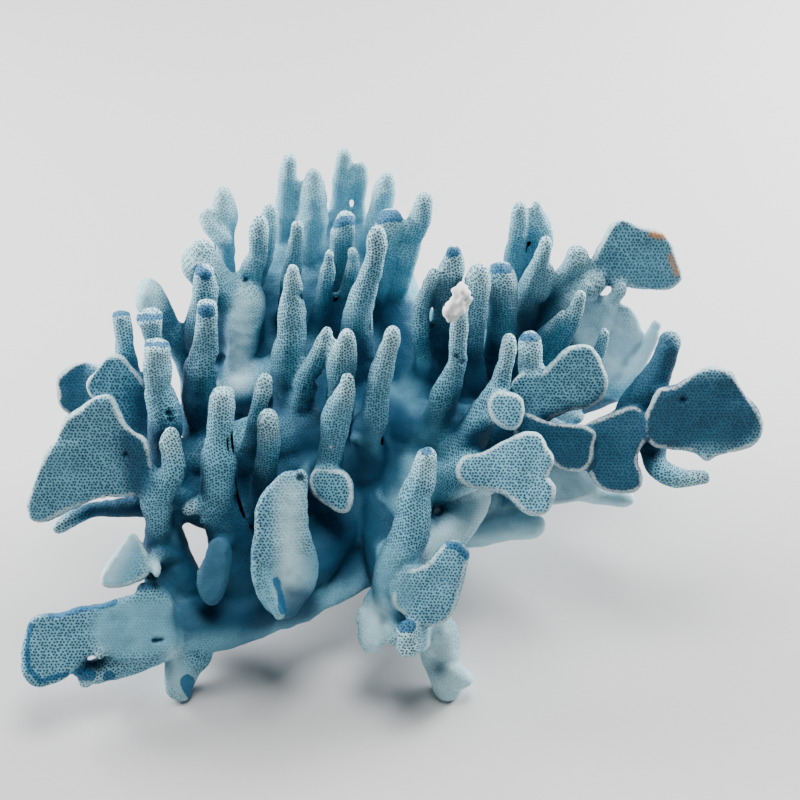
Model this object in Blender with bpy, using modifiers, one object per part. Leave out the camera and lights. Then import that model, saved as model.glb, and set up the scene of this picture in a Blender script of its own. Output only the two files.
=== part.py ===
"""Blue coral: one dried colony of blue coral, cut off flat where it grew on the rock.

A squat base carries a low arm and two feet at the front, and a crown of
fingers, walls and fan-shaped plates. The colony is parted at its main forks:
each branch is an object of its own, fitted to the branches that carry it with
a hairline gap.

Branch points are given from the middle of the crown's face, the slanting
surface on which most tips end: millimetres across it, up it and behind it.
Points behind the face spread, as lines do from a point in front of it.
The base is given in plain X, Y, Z from the middle of its flat cut.
"""

import math
from dataclasses import dataclass

import bmesh
import bpy
from mathutils import Matrix, Vector

MM = 0.001

# The crown's face looks forward and up.
FACE_RISE = math.radians(42.0)
FACE_MIDDLE = Vector((5.0, -36.0, 101.0))
ACROSS = Vector((1.0, 0.0, 0.0))
UP_FACE = Vector((0.0, math.sin(FACE_RISE), math.cos(FACE_RISE)))
BEHIND = Vector((0.0, math.cos(FACE_RISE), -math.sin(FACE_RISE)))
SPREAD = 1.0 / 570.0

# In millimetres. GAPS: a branch is cut by the ones before it, swollen by each of these in turn.
GAPS = (0.45, 0.12, 0.0)
VOXEL = 1.25
STEP_LENGTH = 1.5
SWELL = 0.3
WELDS = (0.04, 0.02, 0.01, 0.002)
FLAP_AREA = 0.3
CRUMB_VOLUME = 80.0

SMOOTH_STEPS = 4
TUBE_ROUNDNESS = 3
CAP_STEPS = 4

# Before the branches are fitted to one another, which adds about as many again.
TRIANGLES_IN_ALL = 5500

STONE_BLUE = (0.30, 0.48, 0.62, 1.0)


def on_face(across, up, behind):
    """The point, in millimetres, this far across, up and behind the crown's face."""
    spread = 1.0 + behind * SPREAD
    return FACE_MIDDLE + (ACROSS * across + UP_FACE * up) * spread + BEHIND * behind


def round_off(stations):
    """Draws the first centre in by its width, so that the round cap ends at the given tip."""
    (tip, width), (after, _) = stations[:2]
    inward = after - tip
    inward *= min(width, 0.7 * inward.length) / inward.length
    stations[0] = (tip + inward, width)


@dataclass
class Rod:
    """A finger, rib or arm, from its tip to its root.

    points: (across, up, half width) along it. depths: how far behind the face
    its tip and its root are. blunt: its tip is broken off square.
    """

    points: list
    depths: tuple
    blunt: bool = False

    def stations(self):
        """(centre, half width) of each point."""
        lengths = [0.0]
        for before, after in zip(self.points, self.points[1:]):
            lengths.append(lengths[-1] + math.hypot(after[0] - before[0], after[1] - before[1]))
        first, last = self.depths
        result = []
        for (across, up, half_width), length in zip(self.points, lengths):
            behind = first + (last - first) * length / lengths[-1]
            result.append((on_face(across, up, behind), half_width))
        if not self.blunt:
            round_off(result)
        return result


@dataclass
class Limb:
    """A thick limb of the base, given by (x, y, z, half width) along it."""

    points: list
    blunt: bool = False

    def stations(self):
        """(centre, half width) of each point."""
        return [(Vector(point[:3]), point[3]) for point in self.points]


@dataclass
class Blade:
    """A fan or plate: its outline across and up the face, and how it lies behind the face.

    behind: its depth at the middle of its outline. lean_across and lean_up:
    the depth it gains for each millimetre across and up.
    """

    outline: list
    behind: float
    half_thick: float = 2.2
    lean_across: float = 0.0
    lean_up: float = 0.0


@dataclass
class Branch:
    """One piece of the colony, from its fork to its tips.

    share: how finely it is made, where 1 is as finely as the others.
    """

    name: str
    shapes: list
    share: float = 1.0


BRANCHES = [
    Branch("base", [
        Limb([(0, 0, -8, 20), (0, -1, 10, 19), (0, -2, 30, 22), (0, -2, 50, 24), (0, -1, 56, 18)]),
        Limb([(21, 11, -6, 8), (16, 9, 9, 8.5), (9, 6, 34, 13)]),
        Limb([(-17, 17, -6, 8.5), (-13, 13, 12, 9), (-7, 7, 36, 13)]),
        Limb([(-20, -14, -6, 7), (-15, -12, 10, 8), (-8, -8, 32, 12)]),
        Limb([(14, -19, -6, 7), (11, -16, 11, 8), (6, -9, 32, 12)]),
        Limb([(-31, -62, 38, 5), (-25, -51, 38, 8), (-17, -34, 38, 13), (-7, -14, 38, 18)]),
        Limb([(2, -60, 38, 7), (2, -48, 38, 10), (1, -32, 40, 14), (1, -12, 42, 18)]),
        Blade([(-46, -70), (-38, -74), (-29, -70), (-19, -67), (-10, -62), (0, -60), (8, -50), (9, -30),
               (5, -12), (-10, -4), (-30, -6), (-46, -14), (-54, -30), (-56, -50), (-53, -66)],
              45, half_thick=4.5, lean_up=0.5),
        Rod([(3, -57, 6), (12, -51, 6.5), (20, -42, 7), (24, -32, 8)], (26, 46)),
        Rod([(-24, -58, 6), (-20, -40, 9), (-20, -20, 12), (-24, 0, 13), (-28, 16, 12)], (34, 66)),
        Rod([(0, -52, 8), (2, -34, 11), (4, -14, 13), (6, 6, 12), (4, 22, 11), (-2, 36, 10)], (32, 74)),
        Rod([(-84, -24, 5), (-72, -20, 8), (-58, -18, 11), (-40, -14, 12), (-20, -10, 12)], (36, 48)),
        Rod([(-74, -2, 6), (-64, 2, 8), (-52, 4, 10), (-36, 8, 11), (-22, 10, 12)], (56, 64)),
        Blade([(-56, 10), (-50, 26), (-46, 44), (-40, 56), (-32, 60), (-22, 60), (-13, 58), (-4, 52),
               (2, 40),
               (6, 24), (12, 4), (-20, -4), (-50, -2)], 72, half_thick=4.5, lean_up=0.1),
        Rod([(62, -14, 6), (50, -13, 8), (36, -12, 10), (20, -12, 12), (5, -10, 12)], (38, 46)),
        Rod([(74, 16, 7), (60, 14, 8), (46, 14, 9), (28, 14, 10), (10, 14, 11)], (68, 62)),
        Blade([(8, 2), (10, 20), (16, 34), (26, 38), (36, 40), (46, 40), (54, 34), (60, 24), (58, 8),
               (50, -4),
               (24, -8)], 64, half_thick=4.5, lean_up=0.1),
        Limb([(-85, -30, 52, 6), (-70, -28, 51, 8), (-40, -24, 50, 12), (-5, -11, 50, 17)]),
        Limb([(50, -18, 62, 9), (30, -20, 54, 13), (9, -14, 48, 17)]),
        Limb([(87, 19, 61, 8), (67, 15, 58, 10), (40, 14, 54, 14), (10, 9, 50, 18)]),
        Limb([(-55, 22, 58, 9), (-33, 18, 54, 13), (-5, 9, 50, 18)]),
        Limb([(-13, 50, 60, 11), (-9, 34, 54, 15), (-3, 12, 48, 18)]),
        Limb([(-39, 48, 60, 9), (-15, 51, 63, 12), (11, 42, 62, 10)]),
    ], share=0.7),
    Branch("left_arm", [
        Blade([(-126, -77), (-123, -73.8), (-117, -73.8), (-110, -72), (-100, -69.8), (-94, -68),
               (-88, -66.6),
               (-80, -67), (-78, -84), (-88, -88.5), (-97, -87.6), (-103, -85), (-108.5, -88.2),
               (-114, -93),
               (-119, -95.6), (-124, -96.6), (-127.4, -92),
               (-127.4, -85)], 12, half_thick=4.2, lean_across=0.15),
        Rod([(-112, -91, 3.2), (-105, -93.2, 4.2), (-97, -90, 5.6), (-86, -84, 7.4), (-74, -78, 9),
             (-60, -76, 9.6), (-46, -71, 9.5), (-34, -66, 10)], (15.5, 34)),
        Rod([(-108.5, -98.5, 3), (-107, -93.5, 4)], (18, 20)),
        Rod([(-102, -96.5, 2.6), (-101, -91, 4)], (17, 18)),
        Rod([(-102.5, -88.5, 1.7), (-102.5, -85, 2.2)], (8, 10)),
        Rod([(-73.6, -102.8, 4), (-75.2, -97, 5.4), (-73.8, -91, 6.7), (-71.4, -86, 7.6),
             (-70, -80, 7)], (30, 28)),
    ]),
    Branch("left_wall", [
        Rod([(-78.5, -9.8, 2.2), (-78.7, -15, 3.5), (-77.6, -20, 4), (-78, -25, 4.8), (-81, -29, 5.6),
             (-83.3, -34, 5.7), (-82.3, -40, 5), (-82.4, -44.5, 4.8), (-83, -48, 4.4)], (2, 20)),
        Rod([(-82, -36, 4.6), (-80.5, -45, 6.4), (-80, -52, 8.2), (-78.5, -58, 9.6), (-76, -65, 10.5),
             (-73, -73, 10)], (20, 36)),
        Blade([(-91.6, -45), (-94.2, -48.5), (-98, -54.5), (-101.6, -60.6), (-99.8, -63), (-94, -62.8),
               (-89, -61),
               (-86.5, -58), (-88, -52)], 9, half_thick=2.1, lean_across=0.5),
        Rod([(-90, -57, 2.4), (-84, -58, 5)], (14, 26)),
        Rod([(-83, -60.6, 1.3), (-83.4, -57.6, 1.9), (-84.4, -55, 2.1), (-80, -53, 3),
             (-77, -54, 3)], (8, 22)),
        Rod([(-89.2, -64.6, 1.9), (-84, -64, 3.4)], (12, 18)),
    ]),
    Branch("left_fan", [
        Blade([(-127, -41.5), (-128, -38), (-126, -30), (-123.5, -24), (-120.5, -19.5), (-117.5, -15),
               (-115, -10.5), (-112, -6), (-108, -3.8), (-105, -1), (-102.5, 0.8), (-99.5, 1.4), (-97, 0),
               (-95.8, -3.5), (-94, -8), (-91, -11), (-88, -13), (-86.3, -17), (-86, -22), (-84.5, -27),
               (-86, -31), (-95, -32.5), (-103, -33), (-110, -35.5), (-118, -39), (-124, -41.8)],
              8, half_thick=2.2, lean_across=0.1, lean_up=-0.4),
        Rod([(-118.7, -44.8, 2), (-113, -41.2, 2.5), (-106, -38, 3.1), (-98, -37, 3.1), (-90, -36.5, 4),
             (-80, -36, 5)], (20, 28)),
        Rod([(-98, -25, 2.5), (-90, -28, 4), (-82, -33, 6), (-74, -36, 6.5)], (17, 30)),
    ]),
    Branch("left_back_fan", [
        Blade([(-117, 6), (-116, 1.5), (-117, -1), (-114, -4), (-110, -5.5), (-104, -4), (-97, -3),
               (-92, 0),
               (-93, 8), (-98, 11), (-103, 11.5), (-107, 12.6), (-110, 12.4),
               (-114, 9.5)], 42, lean_up=-0.3),
        Blade([(-106.5, 4), (-105, 7.5), (-102, 11), (-99, 14), (-96.5, 15), (-93, 13.5), (-90.5, 10),
               (-87.5, 6), (-85, -2), (-83, -10), (-83, -18), (-86, -21), (-90, -19), (-94, -14), (-97, -7),
               (-98, -1), (-101, 0.3), (-104.5, 1)], 28, half_thick=2.4, lean_up=-0.5),
        Rod([(-95.4, 29.8, 3.8), (-95, 26, 3.2), (-94.2, 20, 3.4), (-93.4, 14, 3.7), (-92, 6, 4),
             (-90, -2, 4.2),
             (-86.5, -11, 4.6), (-84.5, -18, 5.2), (-80, -28, 7)], (24, 52), blunt=True),
    ]),
    Branch("left_fingers", [
        Rod([(-83.2, 19, 4.7), (-83.2, 15, 4.6), (-83, 10, 4.9), (-82.6, 5, 4.6), (-81.5, 0, 5.3),
             (-80.5, -5, 6.3),
             (-80.5, -10, 6), (-81, -15, 5.2), (-80, -22, 6.5), (-76, -32, 7)], (0, 38), blunt=True),
        Rod([(-85.8, 28.8, 5), (-85.3, 25.5, 3.8), (-84.4, 20, 3.3), (-84, 12, 3.6), (-82, -4, 4.4),
             (-79, -16, 5)],
            (12, 44), blunt=True),
        Rod([(-85.8, 41.5, 3.4), (-86, 37, 4.9), (-84.5, 32.5, 5.6), (-80, 26, 4.9), (-76.5, 20, 4.5),
             (-72.5, 12, 4.4), (-70.5, 2, 5), (-70, -10, 6)], (32, 64)),
    ]),
    Branch("left_broken_fingers", [
        Rod([(-66, 33.2, 3.3), (-66, 28, 3.7), (-66.3, 22, 4.3), (-67.3, 15, 4.9), (-68.5, 8, 5.9),
             (-68.7, 1, 6.2), (-68, -7, 5.2), (-66.5, -14, 4.6), (-63, -24, 6)], (8, 50), blunt=True),
        Rod([(-66.5, 45, 3), (-66.5, 40, 4), (-66.8, 35, 4.6), (-68.5, 28, 5.3), (-69.5, 20, 5)], (20, 44),
            blunt=True),
        Rod([(-67.5, 54, 4), (-68, 47, 7.5), (-64.5, 42, 7.2), (-60, 35, 7), (-58, 22, 7.5), (-57, 8, 8)],
            (32, 70)),
        Rod([(-52, 43, 4.5), (-53, 33, 7.5), (-54, 22, 6.5), (-55.3, 12, 4.5), (-56, 4, 3.5), (-56, -6, 4)],
            (46, 60)),
    ]),
    Branch("back_left_fingers", [
        Rod([(-60.5, 73.2, 2.8), (-60.2, 68, 4.2), (-60.2, 62, 5.2), (-60, 57, 4.2), (-59.5, 51, 3.3),
             (-58.8, 44, 3.2), (-58, 36, 4.5), (-56.5, 24, 6), (-54, 8, 8)], (45, 84)),
        Rod([(-67.3, 65, 3), (-64.5, 60, 3.6), (-60.5, 55, 3.5)], (47, 50)),
        Rod([(-47.5, 62.7, 2.5), (-48, 57, 3.6), (-48.7, 50, 3.7), (-50.5, 45, 4.4), (-52.5, 39, 5),
             (-53, 32, 7),
             (-54, 22, 8), (-54, 10, 8)], (30, 74)),
        Rod([(-44.3, 66.6, 2.6), (-44.8, 60, 3), (-46, 52, 3.2), (-49, 42, 4)], (40, 60)),
    ]),
    Branch("front_left_finger", [
        Rod([(-60.5, 3.2, 3.8), (-60.5, 0, 4.4), (-61, -5, 4.5), (-61.5, -12, 4.8), (-62, -16, 5.5),
             (-62, -21, 6.5),
             (-62, -27, 6.5), (-62, -33, 6.6), (-60.5, -39, 7.4), (-58.5, -46, 8), (-56.5, -53, 8.5),
             (-55, -61, 9.5), (-54, -70, 9)], (0, 34), blunt=True),
        Rod([(-82, -38, 3), (-74, -38.5, 3), (-66, -40, 4.2), (-58, -39, 6), (-48, -38, 7)], (24, 38)),
        Rod([(-76, -36.5, 1), (-72.5, -37.3, 1.7)], (13, 17)),
        Rod([(-74, -38.6, 2.4), (-70.5, -36.2, 3.2), (-66, -36, 4)], (11, 18)),
        Rod([(-68.5, -41.8, 1.4), (-66.5, -40, 2)], (15, 18)),
        Blade([(-62, -46.6), (-58.8, -49), (-57.6, -54), (-58.4, -60), (-60.8, -66), (-64, -70),
               (-67.2, -68), (-69.4, -63.4), (-68.4, -58), (-66, -53.6),
               (-64.6, -49.6)], 10, half_thick=2, lean_across=-0.35, lean_up=-0.15),
        Rod([(-62.5, -52, 2.6), (-60, -49, 3.4), (-57, -46, 5)], (11, 26)),
    ]),
    Branch("front_left_pair", [
        Rod([(-45, -4, 2.8), (-45, -8, 3.8), (-45, -14, 4.1), (-45.5, -20, 4.2), (-46.3, -26, 4.3),
             (-47.2, -31, 4.6), (-47.5, -36, 5.2), (-46, -44, 6.5)], (1, 38)),
        Rod([(-45.8, 8.8, 2.3), (-46.6, 4, 3), (-48, -1, 3.1), (-49.5, -8, 3.3), (-51, -16, 3.6),
             (-52.5, -26, 4.3),
             (-53, -34, 5), (-52, -42, 6)], (10, 44)),
    ]),
    Branch("front_slab", [
        Blade([(-38.4, -24), (-42, -28), (-46, -32), (-48.3, -37), (-48.2, -43), (-49.4, -50), (-49.6, -60),
               (-48, -66.5), (-45, -71.5), (-42, -74), (-38.5, -75), (-35, -70.5), (-31, -66), (-29, -59),
               (-30, -53), (-32, -45), (-32.6, -35), (-31.8, -27), (-33, -24),
               (-36, -26.8)], 7, half_thick=3.0,
              lean_across=0.55, lean_up=-0.25),
        Rod([(-33.8, -24.2, 2.3), (-34.5, -30, 2.8)], (2, 6)),
        Rod([(-46, -38, 1.8), (-46.8, -45, 2.4), (-47, -53, 2.6), (-46.6, -61, 2.6), (-44, -68, 2.4),
             (-41.4, -73, 2)], (2, 6)),
        Rod([(-40, -36, 4), (-39, -48, 6), (-37, -60, 8), (-34, -64, 8)], (14, 32)),
    ]),
    Branch("middle_left_fingers", [
        Rod([(-36.6, 46.5, 2.3), (-36.7, 42, 3), (-36.7, 36, 3.6), (-37, 28, 5.1), (-37, 22, 5.3),
             (-38, 15, 6),
             (-38.5, 8, 6.2), (-37.5, -2, 6.5), (-36, -12, 7.5)], (7, 56)),
        Rod([(-25, 25, 2.2), (-25.6, 21, 2.9), (-28, 15, 3.3), (-30.5, 10, 3.8), (-32, 5, 4), (-34, -4, 5)],
            (12, 42)),
    ]),
    Branch("middle_fingers", [
        Rod([(-17.8, 24, 3.1), (-18.3, 20, 3.8), (-19.5, 14, 4.7), (-20, 7, 4.8), (-20.5, 0, 5),
             (-21, -10, 6)],
            (5, 42)),
        Rod([(-17.8, 8.9, 2.5), (-18.3, 4, 3.3), (-19.5, 0, 4), (-21.5, -5, 4.7), (-22.8, -12, 4.8),
             (-23.5, -18, 4.6), (-25, -24, 5.2), (-25, -36, 7)], (0, 38)),
        Blade([(-29, -24), (-25, -24.3), (-20, -24.6), (-17.6, -27), (-16.7, -31), (-17, -35.5),
               (-18.6, -38),
               (-21, -37.6), (-24, -36), (-27, -34), (-29.5, -31), (-30.5, -27)], 20, half_thick=3.0,
              lean_across=-0.35),
        Rod([(-24, -30, 4), (-28, -30, 6)], (24, 36)),
    ]),
    Branch("front_middle_finger", [
        Rod([(-2.2, 24.9, 2.5), (-3, 20, 3.3), (-5, 14, 3.7), (-6.8, 8, 4.2), (-8, 0, 4.6), (-9, -6, 5.3),
             (-11, -11, 6), (-10.5, -17, 6.5), (-10, -28, 8)], (0, 44)),
        Rod([(-16.8, -13, 2.8), (-12, -13, 4)], (26, 30)),
    ]),
    Branch("centre_finger", [
        Rod([(-7.7, 59.2, 2.5), (-8, 54, 3.3), (-9, 47, 3.7), (-11, 40, 4.3), (-13.5, 33, 5.2),
             (-14.5, 25, 6),
             (-15, 14, 7), (-15, 2, 9)], (10, 62)),
    ]),
    Branch("back_crown_left", [
        Rod([(-37.3, 84, 2.7), (-38, 78, 3.4), (-39, 70, 3.8), (-39.5, 62, 4), (-40.5, 50, 4.4),
             (-41, 38, 5),
             (-40, 28, 6)], (48, 96)),
        Rod([(-29.3, 79.2, 3), (-29.5, 74, 4.1), (-29.8, 66, 5.3), (-30.2, 58, 6), (-31, 48, 7),
             (-32, 36, 8)],
            (48, 84)),
        Rod([(-34.8, 61, 2.1), (-35.5, 55, 2.8), (-36.5, 48, 3.2), (-37.5, 38, 4.2),
             (-38, 28, 5)], (34, 66)),
        Rod([(-24, 51, 2), (-24.6, 45, 2.7), (-25.5, 38, 3), (-27, 30, 3.8), (-29, 18, 6)], (28, 66)),
    ]),
    Branch("back_crown", [
        Rod([(-18.7, 86.2, 2.8), (-19.2, 80, 3.5), (-20.2, 72, 3.5), (-21.5, 64, 3.8), (-23, 55, 4.8),
             (-25, 40, 7)], (50, 92)),
        Rod([(-13, 81.6, 2.3), (-13.2, 76, 2.7), (-13.5, 70, 2.2), (-13.8, 62, 2.6), (-15, 52, 3.8),
             (-17, 40, 6)],
            (54, 92)),
        Rod([(-18.3, 62.5, 3.3), (-19.5, 57, 4.2), (-20.5, 50, 4.8), (-21.5, 42, 5),
             (-22, 32, 7)], (36, 70),
            blunt=True),
        Rod([(-16.5, 52, 2), (-15.8, 47, 2.5), (-17.5, 40, 2.8), (-19.5, 32, 3.2), (-21, 24, 5)], (34, 60)),
    ]),
    Branch("back_crown_right", [
        Rod([(-4.3, 78, 2.9), (-4.8, 73, 3.9), (-6, 67, 4.3), (-8, 60, 4.6), (-10, 50, 5.5), (-12, 38, 7)],
            (46, 84)),
        Rod([(-3.8, 64.8, 4.7), (-3.8, 60, 5.2), (-5, 52, 4.6), (-7, 44, 4.8), (-9, 32, 6)], (36, 68)),
        Rod([(8.6, 70.6, 3), (7.8, 65, 3.7), (5.8, 59, 4), (3, 51, 4.1), (0.5, 43, 4.2), (-2, 35, 4.6),
             (-5, 28, 5),
             (-7, 18, 6.5)], (34, 80)),
    ]),
    Branch("right_middle_fingers", [
        Rod([(18.3, 52.6, 3), (18.3, 48, 3.8), (17.2, 43, 4.6), (16, 38, 5), (15, 28, 4.6), (14, 16, 5),
             (13, 4, 7)], (12, 64)),
        Rod([(12, 44.5, 2.2), (9.5, 38, 2.7), (7.5, 31, 3), (7, 23, 3.3), (8.5, 14, 3.8),
             (10, 2, 6)], (13, 56)),
        Rod([(27.3, 46.4, 3.1), (27, 42, 4.2), (26.6, 35, 4.2), (26.3, 28, 3.8), (25.5, 20, 3.3),
             (25.8, 12, 3.9),
             (25.5, 4, 4.3), (23, -6, 6.5)], (10, 58)),
    ]),
    Branch("crusted_finger", [
        Rod([(20.4, 33, 3), (20.2, 27, 3), (19.5, 20, 3.2), (19.5, 13, 3.3), (17.5, 7, 4.3), (15.5, 1, 5),
             (14, -4, 5.5), (11.5, -10, 6.3), (8, -18, 7), (5, -26, 8)], (0, 50)),
        Rod([(20.9, 39.9, 1.7), (20.7, 37, 2.5), (20.6, 33.5, 3), (20, 30, 3)], (-2.5, 0)),
        Rod([(23.9, 35.2, 1.3), (21.5, 33, 2.6)], (-2, 0)),
        Rod([(16.4, 34.6, 1.4), (18, 32.4, 2.5), (20, 31, 3)], (-2, 0)),
        Rod([(14.7, 30.6, 1.5), (17, 30.4, 2.4), (19.5, 30, 2.8)], (-2, 0)),
        Rod([(16.8, 26.9, 1.3), (17.6, 28.8, 2), (19, 30, 2.6)], (-1.5, 1)),
    ]),
    Branch("right_front_fan", [
        Blade([(27, -19), (31, -17.5), (35, -14.8), (40, -12.6), (43, -11.5), (46, -11.4), (48.3, -13),
               (49.5, -16.5), (51.7, -19.5), (51.4, -22.5), (49.5, -26), (52, -29.5), (51.6, -33.5),
               (50, -38),
               (46.5, -38.8), (43, -37.8), (40, -35), (36, -31.6), (30, -30.4), (24, -29.5), (20, -26),
               (22, -20)], 3, half_thick=2.3, lean_across=-0.3),
        Rod([(38, -24, 3), (30, -24, 5), (24, -24, 7), (14, -27, 9)], (8, 38)),
        Rod([(37.3, 22.2, 2.3), (36.8, 17.5, 2.9), (35.4, 11, 3.1), (33.8, 5, 3.6), (31, -1, 4.3),
             (27.8, -6, 5.4),
             (25, -11, 6.2), (20, -18, 8)], (0, 32)),
        Blade([(33, 2.2), (36.5, 1.8), (40, 1.2), (42, -1.4), (41.8, -5), (40.8, -8.4), (37.8, -9.8),
               (34.6, -8.6), (32, -6.4), (30.5, -2)], 7, half_thick=2.3, lean_across=-0.2),
        Rod([(37, -4, 3), (31, -5, 4.6)], (9, 18)),
    ]),
    Branch("front_finger", [
        Rod([(9.2, -16.3, 3), (9, -20, 3.9), (7.5, -27, 4.8), (5.5, -33, 5.6), (4.5, -41, 6.3), (2, -49, 7),
             (-1, -56, 7.6), (-2.5, -63, 7.3), (-2.5, -70, 6)], (0, 18)),
        Rod([(0, -60, 7), (-3, -50, 9)], (16, 36)),
        Blade([(1, -60), (5, -58.3), (9, -56.8), (12, -53.5), (14.5, -50.3), (17, -48.4), (20, -48.8),
               (23.2, -52.5), (22, -56), (20.8, -61), (19, -68), (16.3, -74.5), (12, -76.8), (8, -76.4),
               (3, -74),
               (-2, -69)], 5, half_thick=3.0, lean_across=-0.25, lean_up=-0.12),
    ]),
    Branch("front_foot", [
        Rod([(17, -102, 4.8), (16, -96, 5.6), (14.5, -89, 7), (13, -82, 7.8), (10, -76, 8), (5, -69, 8),
             (0, -62, 9)], (32, 24)),
        Rod([(24.8, -96.2, 3.3), (20, -95, 4.4), (15, -91, 5)], (26, 27)),
        Rod([(18, -81, 3.8), (13, -79, 6), (8, -74, 7)], (25, 24)),
        Rod([(2.3, -79, 3.9), (3.5, -80, 4.1), (6, -78, 5)], (2, 18), blunt=True),
        Rod([(2.3, -84, 3.9), (3.5, -83.5, 4), (6, -82, 4.6)], (3, 18), blunt=True),
        Rod([(-10, -87, 3.6), (-9.8, -82, 4.6), (-9, -77, 5.2), (-6.5, -70, 6), (-3, -64, 6)], (16, 24)),
        Rod([(-14.6, -76.5, 2.6), (-11, -74, 4), (-7, -72, 5)], (18, 22)),
        Rod([(-3.6, -83.6, 2.8), (-2.4, -79, 4.4), (0, -72, 6)], (14, 20)),
    ]),
    Branch("low_right_arms", [
        Rod([(49.5, -42.7, 4.2), (45, -42.7, 4.9), (36, -43.5, 5.5), (24, -45, 6.5),
             (10, -44, 8)], (62, 74)),
        Rod([(80, -34, 3), (75, -34, 3.5), (69, -32.5, 3.6), (62, -30, 5), (52, -29.5, 6.5), (40, -32, 7.5),
             (24, -37, 9)], (54, 74)),
        Blade([(50, -20), (58, -21), (64, -23), (68, -29), (62, -33), (54, -35), (46, -34), (42, -26)],
              56, half_thick=3.5),
    ]),
    Branch("right_fan", [
        Blade([(50, 10), (53, 13.5), (57, 17), (60.5, 18.3), (64, 18), (66.7, 15), (68.6, 11), (70.2, 6),
               (69.6, 2), (67, -1), (63, -2.7), (58, -3), (53, -5), (49, -7), (46, -6.5), (41, -3), (38, 2),
               (39, 7), (43, 9), (47.5, 8.5)], 18, half_thick=2.3, lean_up=-0.35),
        Rod([(44.7, 23, 3.6), (44.6, 18, 4.3), (44.8, 11, 4.4), (44.5, 3, 5), (42, -6, 6),
             (38, -14, 8)], (13, 38)),
        Blade([(40, -5), (44, -5.2), (48, -7), (53, -8.3), (58, -8.6), (62, -9), (65, -10.5), (66.4, -12),
               (65.3, -15), (65, -19.5), (63.4, -22.7), (61, -24), (57.5, -23.7), (53.5, -22), (51, -19),
               (46, -16), (40, -14)], 16, half_thick=2.3, lean_across=-0.2, lean_up=-0.3),
        Rod([(54, -14, 4), (46, -12, 6), (36, -14, 8)], (20, 38)),
    ]),
    Branch("far_right_arm", [
        Rod([(92.6, 23, 3.6), (92, 18.5, 4.4), (89.5, 12, 4.5), (87, 7, 5.2), (83, 2, 5.8),
             (80, -4, 6.5), (77, -10, 7), (68, -15, 7.5), (58, -16, 8), (46, -14, 8)], (8, 46)),
        Rod([(92, -9, 5), (84, -6, 6.5), (77, -8, 6.5)], (16, 30)),
        Rod([(93.6, 4, 2.2), (91, 0, 3.6)], (6, 10)),
        Blade([(88, 3), (91, 3.5), (94, 4.2), (98, 7.2), (101.5, 9.7), (105, 10.6), (109, 10.2), (112.5, 8),
               (115.5, 4), (118.5, -0.5), (121.5, -5), (123.3, -9.5), (122.7, -12.8), (120, -15.2),
               (115, -17),
               (110, -18), (107.6, -18.8), (105.8, -20.6), (104.2, -19.4), (103.4, -17.6), (98, -16.8),
               (92, -16.2), (87, -15), (84, -8)], 9, half_thick=2.2, lean_across=-0.1, lean_up=-0.3),
        Rod([(106, -26.2, 2.7), (98, -27, 3.2), (92, -25.8, 3.8), (87.5, -22, 4.2),
             (86.5, -16, 5)], (13, 22)),
    ]),
    Branch("right_dark_plate", [
        Blade([(67, -7.5), (71, -6), (74.5, -4.3), (78.5, -2.8), (81.5, -3.6), (83.7, -7), (83.3, -12),
               (81.3, -17), (80.2, -21), (81.9, -26), (81.4, -30), (76, -31.3), (70, -30.5), (66.5, -27),
               (64.5, -22), (63, -15), (64, -9)], 16, half_thick=2.2, lean_across=-0.3),
        Rod([(73, -16, 3), (66, -15, 5), (58, -14, 7)], (18, 36)),
    ]),
    Branch("back_right_fan", [
        Blade([(66, 44), (67, 49), (69.5, 54.5), (72, 59), (74.5, 60.9), (77, 60.4), (80.5, 58.6),
               (85, 57.3),
               (89, 56.4), (91.5, 54), (93.5, 50), (95.5, 45.5), (96.7, 41.8), (94.5, 39.5), (91, 38.1),
               (87, 38.5), (82, 39.1), (77.5, 40), (71, 40)], 38, half_thick=2.2, lean_up=-0.5),
        Rod([(75, 47, 2.5), (69, 42, 3.5), (64, 36, 4.5), (58, 24, 6)], (42, 60)),
        Rod([(76.7, 39.8, 2), (74.8, 36.5, 2.8), (72.5, 33, 3.1), (70, 26, 4)], (36, 48)),
        Blade([(60, 33), (65, 35), (68, 33.5), (71, 31.4), (75, 31.5), (78.4, 29.6), (80.8, 25.6),
               (81.4, 22.5),
               (79.6, 17), (78.4, 12), (77, 7), (72, 5), (66, 9), (61, 16), (58, 22), (58, 28)], 52,
              half_thick=4.2, lean_up=-0.7),
        Rod([(88.4, 27.4, 2), (87, 23.5, 2.3), (84.4, 18.5, 2.8), (80.6, 12, 4), (77, 4, 5)], (46, 60)),
        Rod([(74, 24, 5), (72, 14, 7), (66, 6, 8)], (52, 68)),
    ]),
    Branch("right_back_fingers", [
        Rod([(59.8, 52.4, 3.6), (60.5, 48, 4.4), (58.6, 44, 4.6), (54.5, 39, 4.8), (50, 32, 5.2),
             (46, 22, 6),
             (43, 12, 7)], (32, 74)),
        Rod([(69.6, 41, 3.2), (66, 39.3, 4), (61, 36, 4.3), (56, 30, 4.8), (50, 24, 6)], (34, 56)),
        Rod([(41, 67.7, 2.7), (40.8, 62, 3.6), (39.8, 55, 3.5), (38.8, 48, 3.8), (38, 38, 4.6),
             (37, 24, 6)],
            (34, 76)),
        Rod([(46.3, 68.2, 1.8), (46.6, 64.5, 2.6), (48, 59, 3.9), (48.3, 53, 4.2),
             (46.5, 44, 4.6)], (38, 60)),
        Rod([(50, 55.7, 2.1), (49.3, 51.5, 2.8), (47.5, 46, 3.6), (45, 39, 4.6), (41.5, 31, 5.8),
             (38, 20, 6.5),
             (36, 8, 8)], (24, 74)),
        Rod([(51.2, 46.8, 1.8), (50.8, 42, 2.4), (48, 36, 3.2)], (34, 42)),
        Rod([(34.5, 46.9, 4.2), (35, 42, 5.3), (35, 34, 5.2), (35, 22, 6), (35, 10, 7)], (22, 60)),
    ]),
    Branch("right_slim_fingers", [
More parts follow.
